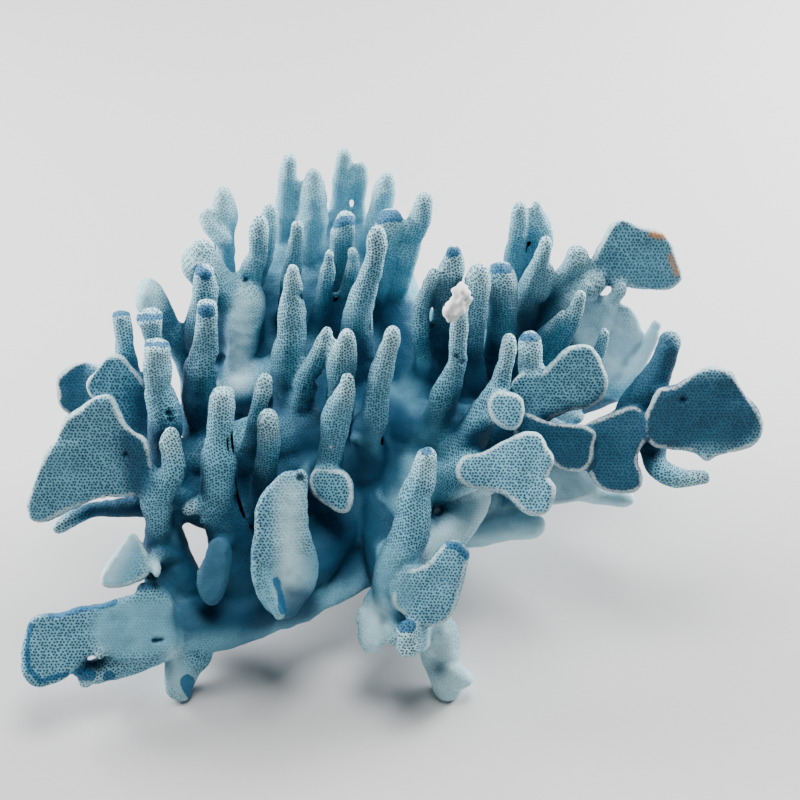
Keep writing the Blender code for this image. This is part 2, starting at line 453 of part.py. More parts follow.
        Rod([(62, 37.2, 2), (61, 32.5, 2.7), (58, 26, 3.2), (54.5, 19, 3.5), (51.5, 13, 3.8), (48, 4, 5),
             (46, -6, 7)], (22, 62)),
        Rod([(56.5, 30, 2.2), (52, 25, 3), (48, 19, 3.4), (44, 8, 4.6), (44, 0, 6)], (28, 60)),
        Rod([(63, -5.8, 2.8), (56, -4.6, 4.4), (48, -4, 6)], (44, 56)),
        Rod([(70, 24.2, 1.8), (69.4, 20, 2.4), (67.7, 15.5, 2.8), (66, 10, 3.1), (62, 2, 4), (54, -4, 6)],
            (26, 56)),
    ]),
]


def between(before, start, end, after, part):
    """The value this part of the way from start to end, on a smooth line through all four."""
    return (
        before * ((-part + 2 * part**2 - part**3) / 2)
        + start * ((2 - 5 * part**2 + 3 * part**3) / 2)
        + end * ((part + 4 * part**2 - 3 * part**3) / 2)
        + after * ((-part**2 + part**3) / 2)
    )


def smooth_path(stations):
    """Centres and half widths at even steps along a smooth line through the stations."""
    padded = [stations[0], *stations, stations[-1]]
    path = []
    for index in range(1, len(padded) - 2):
        centres, widths = zip(*padded[index - 1:index + 3])
        steps = max(1, round((centres[2] - centres[1]).length / STEP_LENGTH))
        for step in range(steps):
            part = step / steps
            path.append((between(*centres, part), max(between(*widths, part), 0.6)))
    path.append(stations[-1])
    return path


def end_cap(end, inner, steps):
    """Ever narrower stations past a line's end, which round it off."""
    centre, width = end
    outward = (centre - inner[0]).normalized()
    cap = []
    for step in range(1, steps + 1):
        angle = 0.5 * math.pi * step / (steps + 0.3)
        cap.append((centre + outward * (width * math.sin(angle)), width * math.cos(angle)))
    return cap


def add_tubes(bm, branch):
    """Adds the branch's rods and limbs, as one curve with a round bevel of changing width."""
    curve = bpy.data.curves.new("rods", "CURVE")
    curve.dimensions = "3D"
    curve.bevel_depth = MM
    curve.bevel_resolution = TUBE_ROUNDNESS
    curve.use_fill_caps = True
    for shape in branch.shapes:
        if isinstance(shape, Blade):
            continue
        path = smooth_path(shape.stations())
        tip = [] if shape.blunt else end_cap(path[0], path[1], CAP_STEPS)
        path = [*reversed(tip), *path, *end_cap(path[-1], path[-2], CAP_STEPS)]
        spline = curve.splines.new("POLY")
        spline.points.add(len(path) - 1)
        for point, (centre, width) in zip(spline.points, path):
            point.co = (*(centre * MM), 1.0)
            point.radius = width + SWELL
    add_curve(bm, curve, Matrix.Identity(4))


def add_blade(bm, blade):
    """Adds a plate with the blade's outline, as a filled flat curve of its thickness."""
    count = len(blade.outline)
    middle = [sum(point[axis] for point in blade.outline) / count for axis in (0, 1)]
    curve = bpy.data.curves.new("blade", "CURVE")
    curve.dimensions = "2D"
    curve.fill_mode = "BOTH"
    curve.extrude = blade.half_thick * MM
    corners = [Vector((point[0] - middle[0], point[1] - middle[1], 0.0)) for point in blade.outline]
    path = []
    for index in range(count):
        around = [corners[(index + offset) % count] for offset in (-1, 0, 1, 2)]
        path.extend(between(*around, part) for part in (0.0, 0.5))
    spline = curve.splines.new("POLY")
    spline.points.add(len(path) - 1)
    spline.use_cyclic_u = True
    for point, corner in zip(spline.points, path):
        point.co = (*(corner * MM), 1.0)
    spread = 1.0 + blade.behind * SPREAD
    across = ACROSS * spread + BEHIND * blade.lean_across
    up = UP_FACE * spread + BEHIND * blade.lean_up
    place = Matrix((across, up, -BEHIND)).transposed().to_4x4()
    place.translation = on_face(*middle, blade.behind) * MM
    add_curve(bm, curve, place)


def add_curve(bm, curve, place):
    """Adds what the curve makes, moved to its place, and removes the curve."""
    if not curve.splines:
        bpy.data.curves.remove(curve)
        return
    guide = bpy.data.objects.new(curve.name, curve)
    bpy.context.scene.collection.objects.link(guide)
    graph = bpy.context.evaluated_depsgraph_get()
    mesh = bpy.data.meshes.new_from_object(guide.evaluated_get(graph))
    mesh.transform(place)
    bm.from_mesh(mesh)
    bpy.data.objects.remove(guide, do_unlink=True)
    bpy.data.curves.remove(curve)
    bpy.data.meshes.remove(mesh)


def branch_mesh(branch):
    """The branch's shapes, still overlapping, as one mesh in metres."""
    bm = bmesh.new()
    add_tubes(bm, branch)
    for shape in branch.shapes:
        if isinstance(shape, Blade):
            add_blade(bm, shape)
    bmesh.ops.remove_doubles(bm, verts=bm.verts, dist=0.001 * MM)
    bmesh.ops.recalc_face_normals(bm, faces=bm.faces)
    mesh = bpy.data.meshes.new(branch.name)
    bm.to_mesh(mesh)
    bm.free()
    return mesh


def bake(obj):
    """Replaces the object's mesh by what its modifiers make of it."""
    graph = bpy.context.evaluated_depsgraph_get()
    mesh = bpy.data.meshes.new_from_object(obj.evaluated_get(graph))
    obj.modifiers.clear()
    obj.data = mesh


def grow_together(obj):
    """Merges the object's overlapping shapes into one smooth skin."""
    remesh = obj.modifiers.new("skin", "REMESH")
    remesh.mode = "VOXEL"
    remesh.voxel_size = VOXEL * MM
    remesh.adaptivity = 0.0
    smooth = obj.modifiers.new("smooth", "SMOOTH")
    smooth.factor = 0.5
    smooth.iterations = SMOOTH_STEPS
    bake(obj)


def thin_out(obj, ratio):
    """Leaves this share of the object's triangles."""
    triangulate = obj.modifiers.new("triangles", "TRIANGULATE")
    triangulate.quad_method = "SHORTEST_DIAGONAL"
    decimate = obj.modifiers.new("fewer", "DECIMATE")
    decimate.ratio = ratio
    bake(obj)


def boolean(obj, cutter, operation="DIFFERENCE"):
    """Cuts the object by the cutter."""
    modifier = obj.modifiers.new("cut", "BOOLEAN")
    modifier.operation = operation
    modifier.solver = "EXACT"
    modifier.use_self = True
    modifier.object = cutter
    bake(obj)


def add_object(name, mesh, collection):
    """A new object of this mesh in the collection."""
    obj = bpy.data.objects.new(name, mesh)
    collection.objects.link(obj)
    return obj


def swollen_copy(obj, gap, collection):
    """A cutter: the object grown by the gap on every side."""
    copy = add_object("around_" + obj.name, obj.data.copy(), collection)
    for vertex in copy.data.vertices:
        vertex.co = vertex.co + vertex.normal * (gap * MM)
    copy.hide_render = True
    copy.display_type = "WIRE"
    return copy


def ground_box(collection):
    """A cutter: everything below the flat cut."""
    bm = bmesh.new()
    bmesh.ops.create_cube(bm, size=0.6)
    bmesh.ops.translate(bm, vec=(0.0, 0.0, -0.3), verts=bm.verts)
    mesh = bpy.data.meshes.new("ground")
    bm.to_mesh(mesh)
    bm.free()
    box = add_object("ground", mesh, collection)
    box.hide_render = True
    box.display_type = "WIRE"
    return box


def near(one, other):
    """Whether the two objects' boxes meet."""
    bounds = []
    for obj in (one, other):
        corners = [vertex.co for vertex in obj.data.vertices]
        if not corners:
            return False
        bounds.append([(min(c[axis] for c in corners), max(c[axis] for c in corners)) for axis in range(3)])
    return all(a[0] <= b[1] and b[0] <= a[1] for a, b in zip(*bounds))


def faults(bm):
    """The edges that don't join exactly two faces, or that lie on another edge."""
    seen = set()
    faulty = []
    for edge in bm.edges:
        ends = frozenset(edge.verts)
        if len(edge.link_faces) != 2 or ends in seen:
            faulty.append(edge)
        seen.add(ends)
    return faulty


def weld(bm, distance):
    """Welds points this near each other, in millimetres, and triangulates."""
    bmesh.ops.remove_doubles(bm, verts=bm.verts, dist=distance * MM)
    bmesh.ops.dissolve_degenerate(bm, edges=bm.edges, dist=distance * MM)
    bmesh.ops.triangulate(bm, faces=bm.faces)


def mend(bm):
    """Removes the small flaps at faulty edges and closes the slits that they leave."""
    for _ in range(6):
        faulty = faults(bm)
        if not faulty:
            return
        flaps = {face for edge in faulty for face in edge.link_faces}
        flaps = [face for face in flaps if face.calc_area() < FLAP_AREA * MM**2]
        bmesh.ops.delete(bm, geom=flaps, context="FACES")
        loose = [edge for edge in bm.edges if not edge.link_faces]
        bmesh.ops.delete(bm, geom=loose, context="EDGES")
        slits = [edge for edge in bm.edges if edge.is_boundary]
        bmesh.ops.holes_fill(bm, edges=slits, sides=0)
        bmesh.ops.triangulate(bm, faces=bm.faces)


def tidy_surface(mesh):
    """A bmesh of the mesh that a cut left, welded and closed."""
    for distance in WELDS:
        bm = bmesh.new()
        bm.from_mesh(mesh)
        weld(bm, distance)
        if not faults(bm):
            return bm
        bm.free()
    bm = bmesh.new()
    bm.from_mesh(mesh)
    weld(bm, WELDS[-1])
    mend(bm)
    return bm


def bodies_of(bm):
    """The closed bodies of a bmesh, each a set of faces."""
    unseen = set(bm.faces)
    bodies = []
    while unseen:
        stack = [unseen.pop()]
        body = set(stack)
        while stack:
            face = stack.pop()
            linked = {other for edge in face.edges for other in edge.link_faces}
            fresh = linked & unseen
            unseen -= fresh
            body |= fresh
            stack.extend(fresh)
        bodies.append(body)
    return bodies


def volume_of(obj):
    """The object's volume, in cubic millimetres."""
    bm = bmesh.new()
    bm.from_mesh(obj.data)
    volume = bm.calc_volume() / MM**3
    bm.free()
    return volume


def part_bodies(obj, collection):
    """Parts the object into one object for each of its bodies, and drops crumbs."""
    bm = tidy_surface(obj.data)
    bm.faces.index_update()
    parted = []
    for body in bodies_of(bm):
        kept = {face.index for face in body}
        copy = bm.copy()
        others = [face for face in copy.faces if face.index not in kept]
        bmesh.ops.delete(copy, geom=others, context="FACES")
        volume = copy.calc_volume() / MM**3
        if volume > CRUMB_VOLUME:
            mesh = bpy.data.meshes.new(obj.name)
            copy.to_mesh(mesh)
            parted.append((volume, mesh))
        copy.free()
    bm.free()
    parted.sort(key=lambda pair: -pair[0])
    obj.data = parted[0][1]
    result = [obj]
    for number, (_, mesh) in enumerate(parted[1:], start=2):
        result.append(add_object(f"{obj.name}_{number}", mesh, collection))
    return result


def stone_material(name, colour):
    """A matt, chalky stone."""
    material = bpy.data.materials.new(name)
    material.use_nodes = True
    shader = material.node_tree.nodes["Principled BSDF"]
    shader.inputs["Base Color"].default_value = colour
    shader.inputs["Roughness"].default_value = 0.85
    return material


def new_collection(name):
    """A new collection in the scene."""
    collection = bpy.data.collections.new(name)
    bpy.context.scene.collection.children.link(collection)
    return collection


def clear_scene():
    """Removes every object."""
    for obj in list(bpy.data.objects):
        bpy.data.objects.remove(obj, do_unlink=True)


def main():
    """Builds every branch, fits it to those before it and gives it its material."""
    clear_scene()
    coral = new_collection("blue_coral")
    cutters = new_collection("cutters")
    cutters.hide_render = True
    ground = ground_box(cutters)

    objects = []
    for branch in BRANCHES:
        obj = add_object(branch.name, branch_mesh(branch), coral)
        grow_together(obj)
        objects.append(obj)
    faces = [len(obj.data.polygons) * branch.share for obj, branch in zip(objects, BRANCHES)]
    ratio = TRIANGLES_IN_ALL / (2 * sum(faces))

    fitted = []
    for branch, obj in zip(BRANCHES, objects):
        thin_out(obj, min(1.0, ratio * branch.share))
        if min(vertex.co.z for vertex in obj.data.vertices) < 0:
            boolean(obj, ground)
        for other, cutters_around in fitted:
            if near(other, obj):
                for around in cutters_around:
                    boolean(obj, around)
        material = stone_material(branch.name, STONE_BLUE)
        for body in part_bodies(obj, coral):
            body.data.materials.clear()
            body.data.materials.append(material)
            fitted.append((body, [swollen_copy(body, gap, cutters) for gap in GAPS]))
            print(f"{body.name}: {len(body.data.polygons)} triangles, {volume_of(body):.0f} mm3")
    print(len(fitted), "pieces,", sum(len(body.data.polygons) for body, _ in fitted), "triangles")


if __name__ == "__main__":
    main()
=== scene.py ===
"""Blue coral: a dried colony of blue coral, cut off flat underneath, standing on a pale floor.

The colony's branches are given from the middle of the crown's face, the
slanting surface on which most tips end: millimetres across it, up it and
behind it. They grow together into one skin, which is roughened, measured and
then parted into one closed piece for each branch.
"""

from __future__ import annotations

import logging
import math
from contextlib import contextmanager
from dataclasses import dataclass
from enum import Enum
from typing import Any, Iterator, Sequence

import bmesh
import bpy
import numpy as np
from mathutils import Matrix, Vector, kdtree, noise
from mathutils.bvhtree import BVHTree


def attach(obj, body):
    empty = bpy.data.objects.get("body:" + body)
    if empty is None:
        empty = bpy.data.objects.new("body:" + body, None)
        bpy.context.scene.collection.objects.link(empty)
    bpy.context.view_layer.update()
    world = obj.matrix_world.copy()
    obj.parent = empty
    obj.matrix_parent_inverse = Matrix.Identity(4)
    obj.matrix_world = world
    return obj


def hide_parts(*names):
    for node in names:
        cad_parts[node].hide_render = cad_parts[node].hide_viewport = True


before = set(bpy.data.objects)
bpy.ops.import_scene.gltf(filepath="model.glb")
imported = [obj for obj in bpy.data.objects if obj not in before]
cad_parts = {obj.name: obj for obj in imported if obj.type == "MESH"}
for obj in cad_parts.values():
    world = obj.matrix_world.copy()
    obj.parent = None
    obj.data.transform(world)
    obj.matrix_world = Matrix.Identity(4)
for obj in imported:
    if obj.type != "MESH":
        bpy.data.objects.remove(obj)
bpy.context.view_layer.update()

log = logging.getLogger("blue_coral")

MM = 0.001

# The crown's face looks forward and up. What lies behind it spreads with its distance.
FACE_RISE = math.radians(42.0)
FACE_MIDDLE = Vector((5.0, -36.0, 101.0))
ACROSS = Vector((1.0, 0.0, 0.0))
UP_FACE = Vector((0.0, math.sin(FACE_RISE), math.cos(FACE_RISE)))
BEHIND = Vector((0.0, math.cos(FACE_RISE), -math.sin(FACE_RISE)))
SPREAD = 1.0 / 570.0

# How finely the branches' shapes are made, in millimetres.
STEP_LENGTH = 1.5
LEAST_WIDTH = 0.6
RING_SIDES = 14
CAP_STEPS = 4
CAP_OPENING = 0.3
TIP_SHARE = 0.7
RIM_STEPS = (0.0, 0.33, 0.67)
LIMB_TIP = 60.0

# A plate no thicker than this, on each side of its middle, has a rim.
THIN = 3.5
# The distance given to points that are off every plate or spot.
FAR = 20.0
# Stands in for a length of nothing where something is divided by it.
TINY = 1e-9

# How the skin's finish is measured, in millimetres.
NEIGHBOURS = 10
MOST_PUSH = 0.9
PARTING_ROUNDS = 6
EVEN_SHARE = 0.6
EVENED_AREA = 16.0
CONVEX_AREA = 9.0
SHELTER_AREA = 38.4
PIT_DEPTH = 1.3

# The rays that feel for stone round a point, which sets how much painted shade it gets.
RAYS = 22
SHELTER_POINTS = 16000
SHELTER_SEED = 7
SHELTER_REACH = 24.0
OUTWARD = 1.02
OPEN_SKY = Vector((0.0, 0.15, 0.5))

# How the pores' map is laid: LEAST_ROUND is in millimetres, ROW_HEIGHT in pore gaps.
LEAST_ROUND = 0.8
ON_PLATE = 0.6
ACROSS_TIP = 0.7
MAP_SCALE = 0.01
ROW_HEIGHT = 0.866

# The lining under each piece's surface: how deep it lies and how flat it is made.
SHELL = 1.5
LINING_ANGLE = 0.25

Point = tuple[float, ...]
Station = tuple[Vector, float]
Colour = tuple[float, float, float, float]
Range = tuple[float, float]


@contextmanager
def edited(mesh: bpy.types.Mesh) -> Iterator[bmesh.types.BMesh]:
    """Opens a mesh for editing and writes it back.

    Args:
        mesh: The mesh.

    Yields:
        What it holds, to be changed.
    """
    bm = bmesh.new()
    bm.from_mesh(mesh)
    yield bm
    bm.to_mesh(mesh)
    bm.free()


def in_scene(name: str, data: bpy.types.ID) -> bpy.types.Object:
    """Puts a mesh, light or camera in the scene.

    Args:
        name: The object's name.
        data: What it shows.

    Returns:
        The object.
    """
    made = bpy.data.objects.new(name, data)
    bpy.context.scene.collection.objects.link(made)
    return made


def read(items: Any, field: str, width: int = 1, kind: type = float) -> np.ndarray:
    """Reads a field of every vertex, edge, corner or face of a mesh.

    Args:
        items: The mesh's items.
        field: The field's name.
        width: How many numbers it has.
        kind: The numbers' type.

    Returns:
        A row for each item, or a number where the field has one.
    """
    values = np.empty(len(items) * width, kind)
    items.foreach_get(field, values)
    return values.reshape(-1, width) if width > 1 else values


def pick(items: Sequence[Any], kind: type) -> list[Any]:
    """Picks the vertices or edges out of what an operator has made.

    Args:
        items: What it has made.
        kind: The kind to pick.

    Returns:
        The items of that kind.
    """
    return [item for item in items if isinstance(item, kind)]


def to_line(points: np.ndarray, start: np.ndarray, end: np.ndarray) -> np.ndarray:
    """Measures how far flat points are from a straight line between two ends.

    Args:
        points: The points.
        start: The line's start.
        end: Its end.

    Returns:
        The distances.
    """
    step = end - start
    part = np.clip((points - start) @ step / max(step @ step, TINY), 0.0, 1.0)
    return np.linalg.norm(points - start - part[:, None] * step, axis=1)


def on_face(across: float, up: float, behind: float) -> Vector:
    """Finds a point from its place on the crown's face.

    Args:
        across: Millimetres to the right of the face's middle.
        up: Millimetres up the face.
        behind: Millimetres behind the face.

    Returns:
        The point, in millimetres.
    """
    spread = 1.0 + behind * SPREAD
    return FACE_MIDDLE + (ACROSS * across + UP_FACE * up) * spread + BEHIND * behind


def between(before: Any, start: Any, end: Any, after: Any, part: float) -> Any:
    """Reads a smooth line that passes through its points.

    Args:
        before: The value before the start.
        start: The value at the start.
        end: The value at the end.
        after: The value after the end.
        part: How far from start to end, from 0 to 1.

    Returns:
        The value there.
    """
    return (
        before * ((-part + 2 * part**2 - part**3) / 2)
        + start * ((2 - 5 * part**2 + 3 * part**3) / 2)
        + end * ((part + 4 * part**2 - 3 * part**3) / 2)
        + after * ((-(part**2) + part**3) / 2)
    )


def smooth_path(stations: Sequence[Station]) -> list[Station]:
    """Adds even steps along a smooth line through the stations.

    Args:
        stations: Centres and half widths, from tip to root.

    Returns:
        The centres and half widths of the steps.
    """
    padded = [stations[0], *stations, stations[-1]]
    path: list[Station] = []
    for index in range(1, len(padded) - 2):
        centres, widths = zip(*padded[index - 1 : index + 3])
        steps = max(1, round((centres[2] - centres[1]).length / STEP_LENGTH))
        for step in range(steps):
            part = step / steps
            path.append((between(*centres, part), max(between(*widths, part), LEAST_WIDTH)))
    path.append(stations[-1])
    return path


def end_cap(end: Station, inner: Station) -> list[Station]:
    """Rounds off a line's end.

    Args:
        end: The last station.
        inner: The station before it.

    Returns:
        Ever narrower stations past the end.
    """
    centre, width = end
    outward = (centre - inner[0]).normalized()
    cap = []
    for step in range(1, CAP_STEPS + 1):
        angle = 0.5 * math.pi * step / (CAP_STEPS + CAP_OPENING)
        cap.append((centre + outward * (width * math.sin(angle)), width * math.cos(angle)))
    return cap


class Place(Enum):
    """What kind of surface a sample of a branch lies in."""

    FINGER = 0.0
    LIMB = 1.0
    PLATE = 2.0


@dataclass(frozen=True)
class Sample:
    """A point inside a branch, with what the skin around it needs to know.

    Args:
        centre: The point, in millimetres.
        width: How far the skin is from it.
        tip: Millimetres to the branch's tip or, on a plate, to its rim.
        place: The kind of surface.
        along: The direction that the pores' rows run in.
        side: The direction across them.
        start: The pores' place along and across, at the point.
        taper: What the width gains for each millimetre along.
    """

    centre: Vector
    width: float
    tip: float
    place: Place
    along: Vector
    side: Vector
    start: tuple[float, float]
    taper: float = 0.0


def line_samples(path: Sequence[Station], place: Place, tip: float) -> list[Sample]:
    """Lists samples along a line.

    Args:
        path: Centres and half widths, from tip to root.
        place: The kind of surface.
        tip: Millimetres from the first centre to the tip.

    Returns:
        A sample for each station.
    """
    samples = []
    length = 0.0
    side = Vector((1.0, 0.0, 0.0))
    last = len(path) - 1
    for index, (centre, width) in enumerate(path):
        before = path[max(index - 1, 0)]
        after = path[min(index + 1, last)]
        if index:
            length += (centre - before[0]).length
        step = after[0] - before[0]
        along = step.normalized()
        side = (side - along * side.dot(along)).normalized()
        taper = (after[1] - before[1]) / max(step.length, 0.1)
        from_tip = max(tip + length, 0.0)
        samples.append(Sample(centre, width, from_tip, place, along, side, (length, 0.0), taper))
    return samples


class Shape:
    """A simple shape that a branch is grown from."""

    def mesh(self) -> bmesh.types.BMesh:
        """Makes the shape's closed mesh, in millimetres."""
        raise NotImplementedError

    def samples(self) -> list[Sample]:
        """Lists points all through the shape."""
        raise NotImplementedError


def tube(path: Sequence[Station]) -> bmesh.types.BMesh:
    """Extrudes a ring along a path of changing width.

    Args:
        path: Centres and half widths, in millimetres.

    Returns:
        The closed tube.
    """
    bm = bmesh.new()
    along = (path[1][0] - path[0][0]).normalized()
    turn = along.to_track_quat("Z", "Y")
    start = Matrix.Translation(path[0][0]) @ turn.to_matrix().to_4x4()
    bmesh.ops.create_circle(bm, cap_ends=False, radius=path[0][1], segments=RING_SIDES, matrix=start)
    edges = list(bm.edges)
    bmesh.ops.contextual_create(bm, geom=edges)
    for index in range(1, len(path)):
        centre, width = path[index]
        after = path[min(index + 1, len(path) - 1)][0]
        new_along = (after - path[index - 1][0]).normalized()
        made = bmesh.ops.extrude_edge_only(bm, edges=edges)["geom"]
        edges = pick(made, bmesh.types.BMEdge)
        turn = along.rotation_difference(new_along).to_matrix().to_4x4()
        old_centre, old_width = path[index - 1]
        move = (
            Matrix.Translation(centre)
            @ Matrix.Scale(width / old_width, 4)
            @ turn
            @ Matrix.Translation(-old_centre)
        )
        bmesh.ops.transform(bm, matrix=move, verts=pick(made, bmesh.types.BMVert))
        along = new_along
    bmesh.ops.contextual_create(bm, geom=edges)
    bmesh.ops.recalc_face_normals(bm, faces=bm.faces)
    return bm


@dataclass(frozen=True)
class Rod(Shape):
    """A finger, rib or arm, from its tip to its root.

    Args:
        points: (across, up, half width) along it.
        depths: How far behind the face its tip and its root are.
        blunt: Whether its tip is broken off square.
    """

    points: tuple[Point, ...]
    depths: tuple[float, float]
    blunt: bool = False

    def stations(self) -> list[Station]:
        """Finds the centre and the half width of each point, the tip drawn in to its rounding."""
        lengths = [0.0]
        for before, after in zip(self.points, self.points[1:]):
            lengths.append(lengths[-1] + math.hypot(after[0] - before[0], after[1] - before[1]))
        first, last = self.depths
        stations = []
        for (across, up, width), length in zip(self.points, lengths):
            behind = first + (last - first) * length / lengths[-1]
            stations.append((on_face(across, up, behind), width))
        if not self.blunt:
            (tip, width), (after, _) = stations[:2]
            inward = after - tip
            inward *= min(width, TIP_SHARE * inward.length) / inward.length
            stations[0] = (tip + inward, width)
        return stations

    def mesh(self) -> bmesh.types.BMesh:
        """Makes the rod's closed mesh, in millimetres."""
        path = smooth_path(self.stations())
        tip = [] if self.blunt else end_cap(path[0], path[1])
        return tube([*reversed(tip), *path, *end_cap(path[-1], path[-2])])

    def samples(self) -> list[Sample]:
        """Lists the points along the rod's line."""
        path = smooth_path(self.stations())
        tip = 0.0 if self.blunt else -path[0][1]
        return line_samples(path, Place.FINGER, tip)


@dataclass(frozen=True)
class Limb(Shape):
    """A thick limb of the base.

    Args:
        points: (x, y, z, half width) along it, in millimetres.
    """

    points: tuple[Point, ...]

    def path(self) -> list[Station]:
        """Finds the centres and half widths along the limb."""
        return smooth_path([(Vector(point[:3]), point[3]) for point in self.points])

    def mesh(self) -> bmesh.types.BMesh:
        """Makes the limb's closed mesh, in millimetres."""
        path = self.path()
        return tube([*reversed(end_cap(path[0], path[1])), *path, *end_cap(path[-1], path[-2])])

    def samples(self) -> list[Sample]:
        """Lists the points along the limb's line."""
        return line_samples(self.path(), Place.LIMB, LIMB_TIP)


@dataclass(frozen=True)
class Blade(Shape):
    """A fan or plate.

    Args:
        outline: (across, up) round it.
        behind: How far behind the face the middle of its outline is.
        half_thick: Half its thickness.
        lean_across: What its depth gains for each millimetre across.
        lean_up: What its depth gains for each millimetre up.
        pale_rim: Whether its rim is paler than its face.
    """

    outline: tuple[Point, ...]
    behind: float
    half_thick: float = 2.2
    lean_across: float = 0.0
    lean_up: float = 0.0
    pale_rim: bool = True

    def rim(self) -> list[Vector]:
        """Finds a smooth outline, flat, round its own middle."""
        count = len(self.outline)
        middle = self.middle()
        corners = [Vector((a - middle[0], u - middle[1], 0.0)) for a, u in self.outline]
        rim = []
        for index in range(count):
            around = [corners[(index + offset) % count] for offset in (-1, 0, 1, 2)]
            rim.extend(between(*around, part) for part in RIM_STEPS)
        return rim

    def middle(self) -> tuple[float, float]:
        """Finds the middle of the outline's points."""
        count = len(self.outline)
        return sum(p[0] for p in self.outline) / count, sum(p[1] for p in self.outline) / count

    def lie(self) -> Matrix:
        """Finds the matrix that lays the flat outline in its place."""
        spread = 1.0 + self.behind * SPREAD
        across = ACROSS * spread + BEHIND * self.lean_across
        up = UP_FACE * spread + BEHIND * self.lean_up
        place = Matrix((across, up, -BEHIND)).transposed().to_4x4()
        place.translation = on_face(*self.middle(), self.behind)
        return place

    def mesh(self) -> bmesh.types.BMesh:
        """Makes the plate's closed mesh, in millimetres."""
        bm = bmesh.new()
        for corner in self.rim():
            bm.verts.new(corner - Vector((0.0, 0.0, self.half_thick)))
        bmesh.ops.contextual_create(bm, geom=list(bm.verts))
        made = bmesh.ops.extrude_face_region(bm, geom=list(bm.faces))["geom"]
        upper = pick(made, bmesh.types.BMVert)
        bmesh.ops.translate(bm, vec=(0.0, 0.0, 2 * self.half_thick), verts=upper)
        bmesh.ops.transform(bm, matrix=self.lie(), verts=bm.verts)
        bmesh.ops.triangulate(bm, faces=[face for face in bm.faces if len(face.verts) > 4])
        bmesh.ops.recalc_face_normals(bm, faces=bm.faces)
        return bm

    def samples(self) -> list[Sample]:
        """Lists points all over the plate, each with its distance to the rim."""
        rim = np.array([tuple(corner)[:2] for corner in self.rim()])
        ahead = np.roll(rim, -1, axis=0)
        low, high = rim.min(0), rim.max(0)
        steps = [np.arange(*ends, STEP_LENGTH) for ends in zip(low, high)]
        grid = np.stack(np.meshgrid(*steps), -1).reshape(-1, 2)
        crosses = (rim[:, 1] > grid[:, None, 1]) != (ahead[:, 1] > grid[:, None, 1])
        rise = np.where(ahead[:, 1] == rim[:, 1], TINY, ahead[:, 1] - rim[:, 1])
        where = rim[:, 0] + (grid[:, None, 1] - rim[:, 1]) * (ahead[:, 0] - rim[:, 0]) / rise
        inside = (crosses & (grid[:, None, 0] < where)).sum(1) % 2 == 1
        kept = grid[inside]
        gaps = np.linalg.norm(kept[:, None] - rim, axis=2).min(1)
        lie = self.lie()
        along = lie.col[0].to_3d().normalized()
        side = lie.col[1].to_3d().normalized()
        samples = []
        for start, gap in zip(map(tuple, kept.tolist()), gaps.tolist()):
            centre = lie @ Vector((*start, 0.0))
            samples.append(Sample(centre, self.half_thick, gap, Place.PLATE, along, side, start))
        return samples


@dataclass
class Branch:
    """One branch of the colony, from its fork to its tips.

    Args:
        name: The name of its CAD nodes, which may end in a number.
        shapes: What it grows from.
    """

    name: str
    shapes: tuple[Shape, ...]

    def nodes(self) -> list[str]:
        """Lists the CAD nodes that the branch stands for."""
        found = []
        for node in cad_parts:
            stem, _, number = node.rpartition("_")
            if node == self.name or (stem == self.name and number.isdigit()):
                found.append(node)
        return sorted(found)

    def add_to(self, bm: bmesh.types.BMesh) -> None:
        """Adds the branch's shapes to a mesh, still overlapping.

        Args:
            bm: The mesh to add to, in metres.
        """
        for shape in self.shapes:
            part = shape.mesh()
            bmesh.ops.scale(part, vec=(MM, MM, MM), verts=part.verts)
            mesh = bpy.data.meshes.new("part")
            part.to_mesh(mesh)
            part.free()
            bm.from_mesh(mesh)
            bpy.data.meshes.remove(mesh)

    def finish(self, piece: bpy.types.Object) -> None:
        """Closes the branch's piece and evens its shading with its neighbours' across the seams.

        Args:
            piece: The piece, open where it was parted from its neighbours.
        """
        piece.name = piece.data.name = f"{self.name}_stone"
        close_seams(piece)
        mesh = piece.data
        normals = read(mesh.attributes["seam_normal"].data, "vector", 3)
        mesh.normals_split_custom_set_from_vertices(normals.tolist())
        mesh.attributes.remove(mesh.attributes["seam_normal"])

    def dress(self, piece: bpy.types.Object, stone: bpy.types.Material) -> None:
        """Gives the piece its stone and has it stand for the branch's CAD nodes.

        Args:
            piece: The branch's piece.
            stone: Its material.
        """
        mesh = piece.data
        mesh.materials.clear()
        mesh.materials.append(stone)
        mesh.polygons.foreach_set("material_index", [0] * len(mesh.polygons))
        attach(piece, "root")
        for node in self.nodes():
            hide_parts(node)
        log.info("%s: %d faces, stands for %s", self.name, len(mesh.polygons), self.nodes())


# Marks on the skin.


class Mark(Enum):
    """What a spot on the coral is."""

    PIT = "pit"
    BREAK = "break"
    CRUST = "crust"
    RUST = "rust"
    # Bare smooth stone; partly painted light, where pale arms and fans lie in shade.
    BARE_AND_LIT = "bare_and_lit"
    # Painted shade: dark blue put where shadow falls on walls, arms and plates.
    PAINTED_SHADE = "painted_shade"
    WORN = "worn"


@dataclass(frozen=True)
class Spot:
    """A spot or a streak on the coral.

    Args:
        kind: What it is.
        line: (across, up) of the points that it runs along.
        radius: Half its width, in millimetres.
        depths: How far behind the crown's face the skin that bears it lies, at least and at most.
    """

    kind: Mark
    line: tuple[Point, ...]
    radius: float
    depths: tuple[float, float]

    def reach(self, places: np.ndarray) -> np.ndarray:
        """Measures how far points are outside the spot.

        Args:
            places: (across, up, behind) of each point.

        Returns:
            Millimetres, below 0 inside the spot.
        """
        reach = np.full(len(places), FAR)
        for start, end in zip(self.line, self.line[1:] or self.line):
            gap = to_line(places[:, :2], np.array(start), np.array(end))
            reach = np.minimum(reach, gap - self.radius)
        behind = places[:, 2]
        beyond = np.maximum(self.depths[0] - behind, behind - self.depths[1])
        return np.minimum(np.maximum(reach, beyond), FAR)


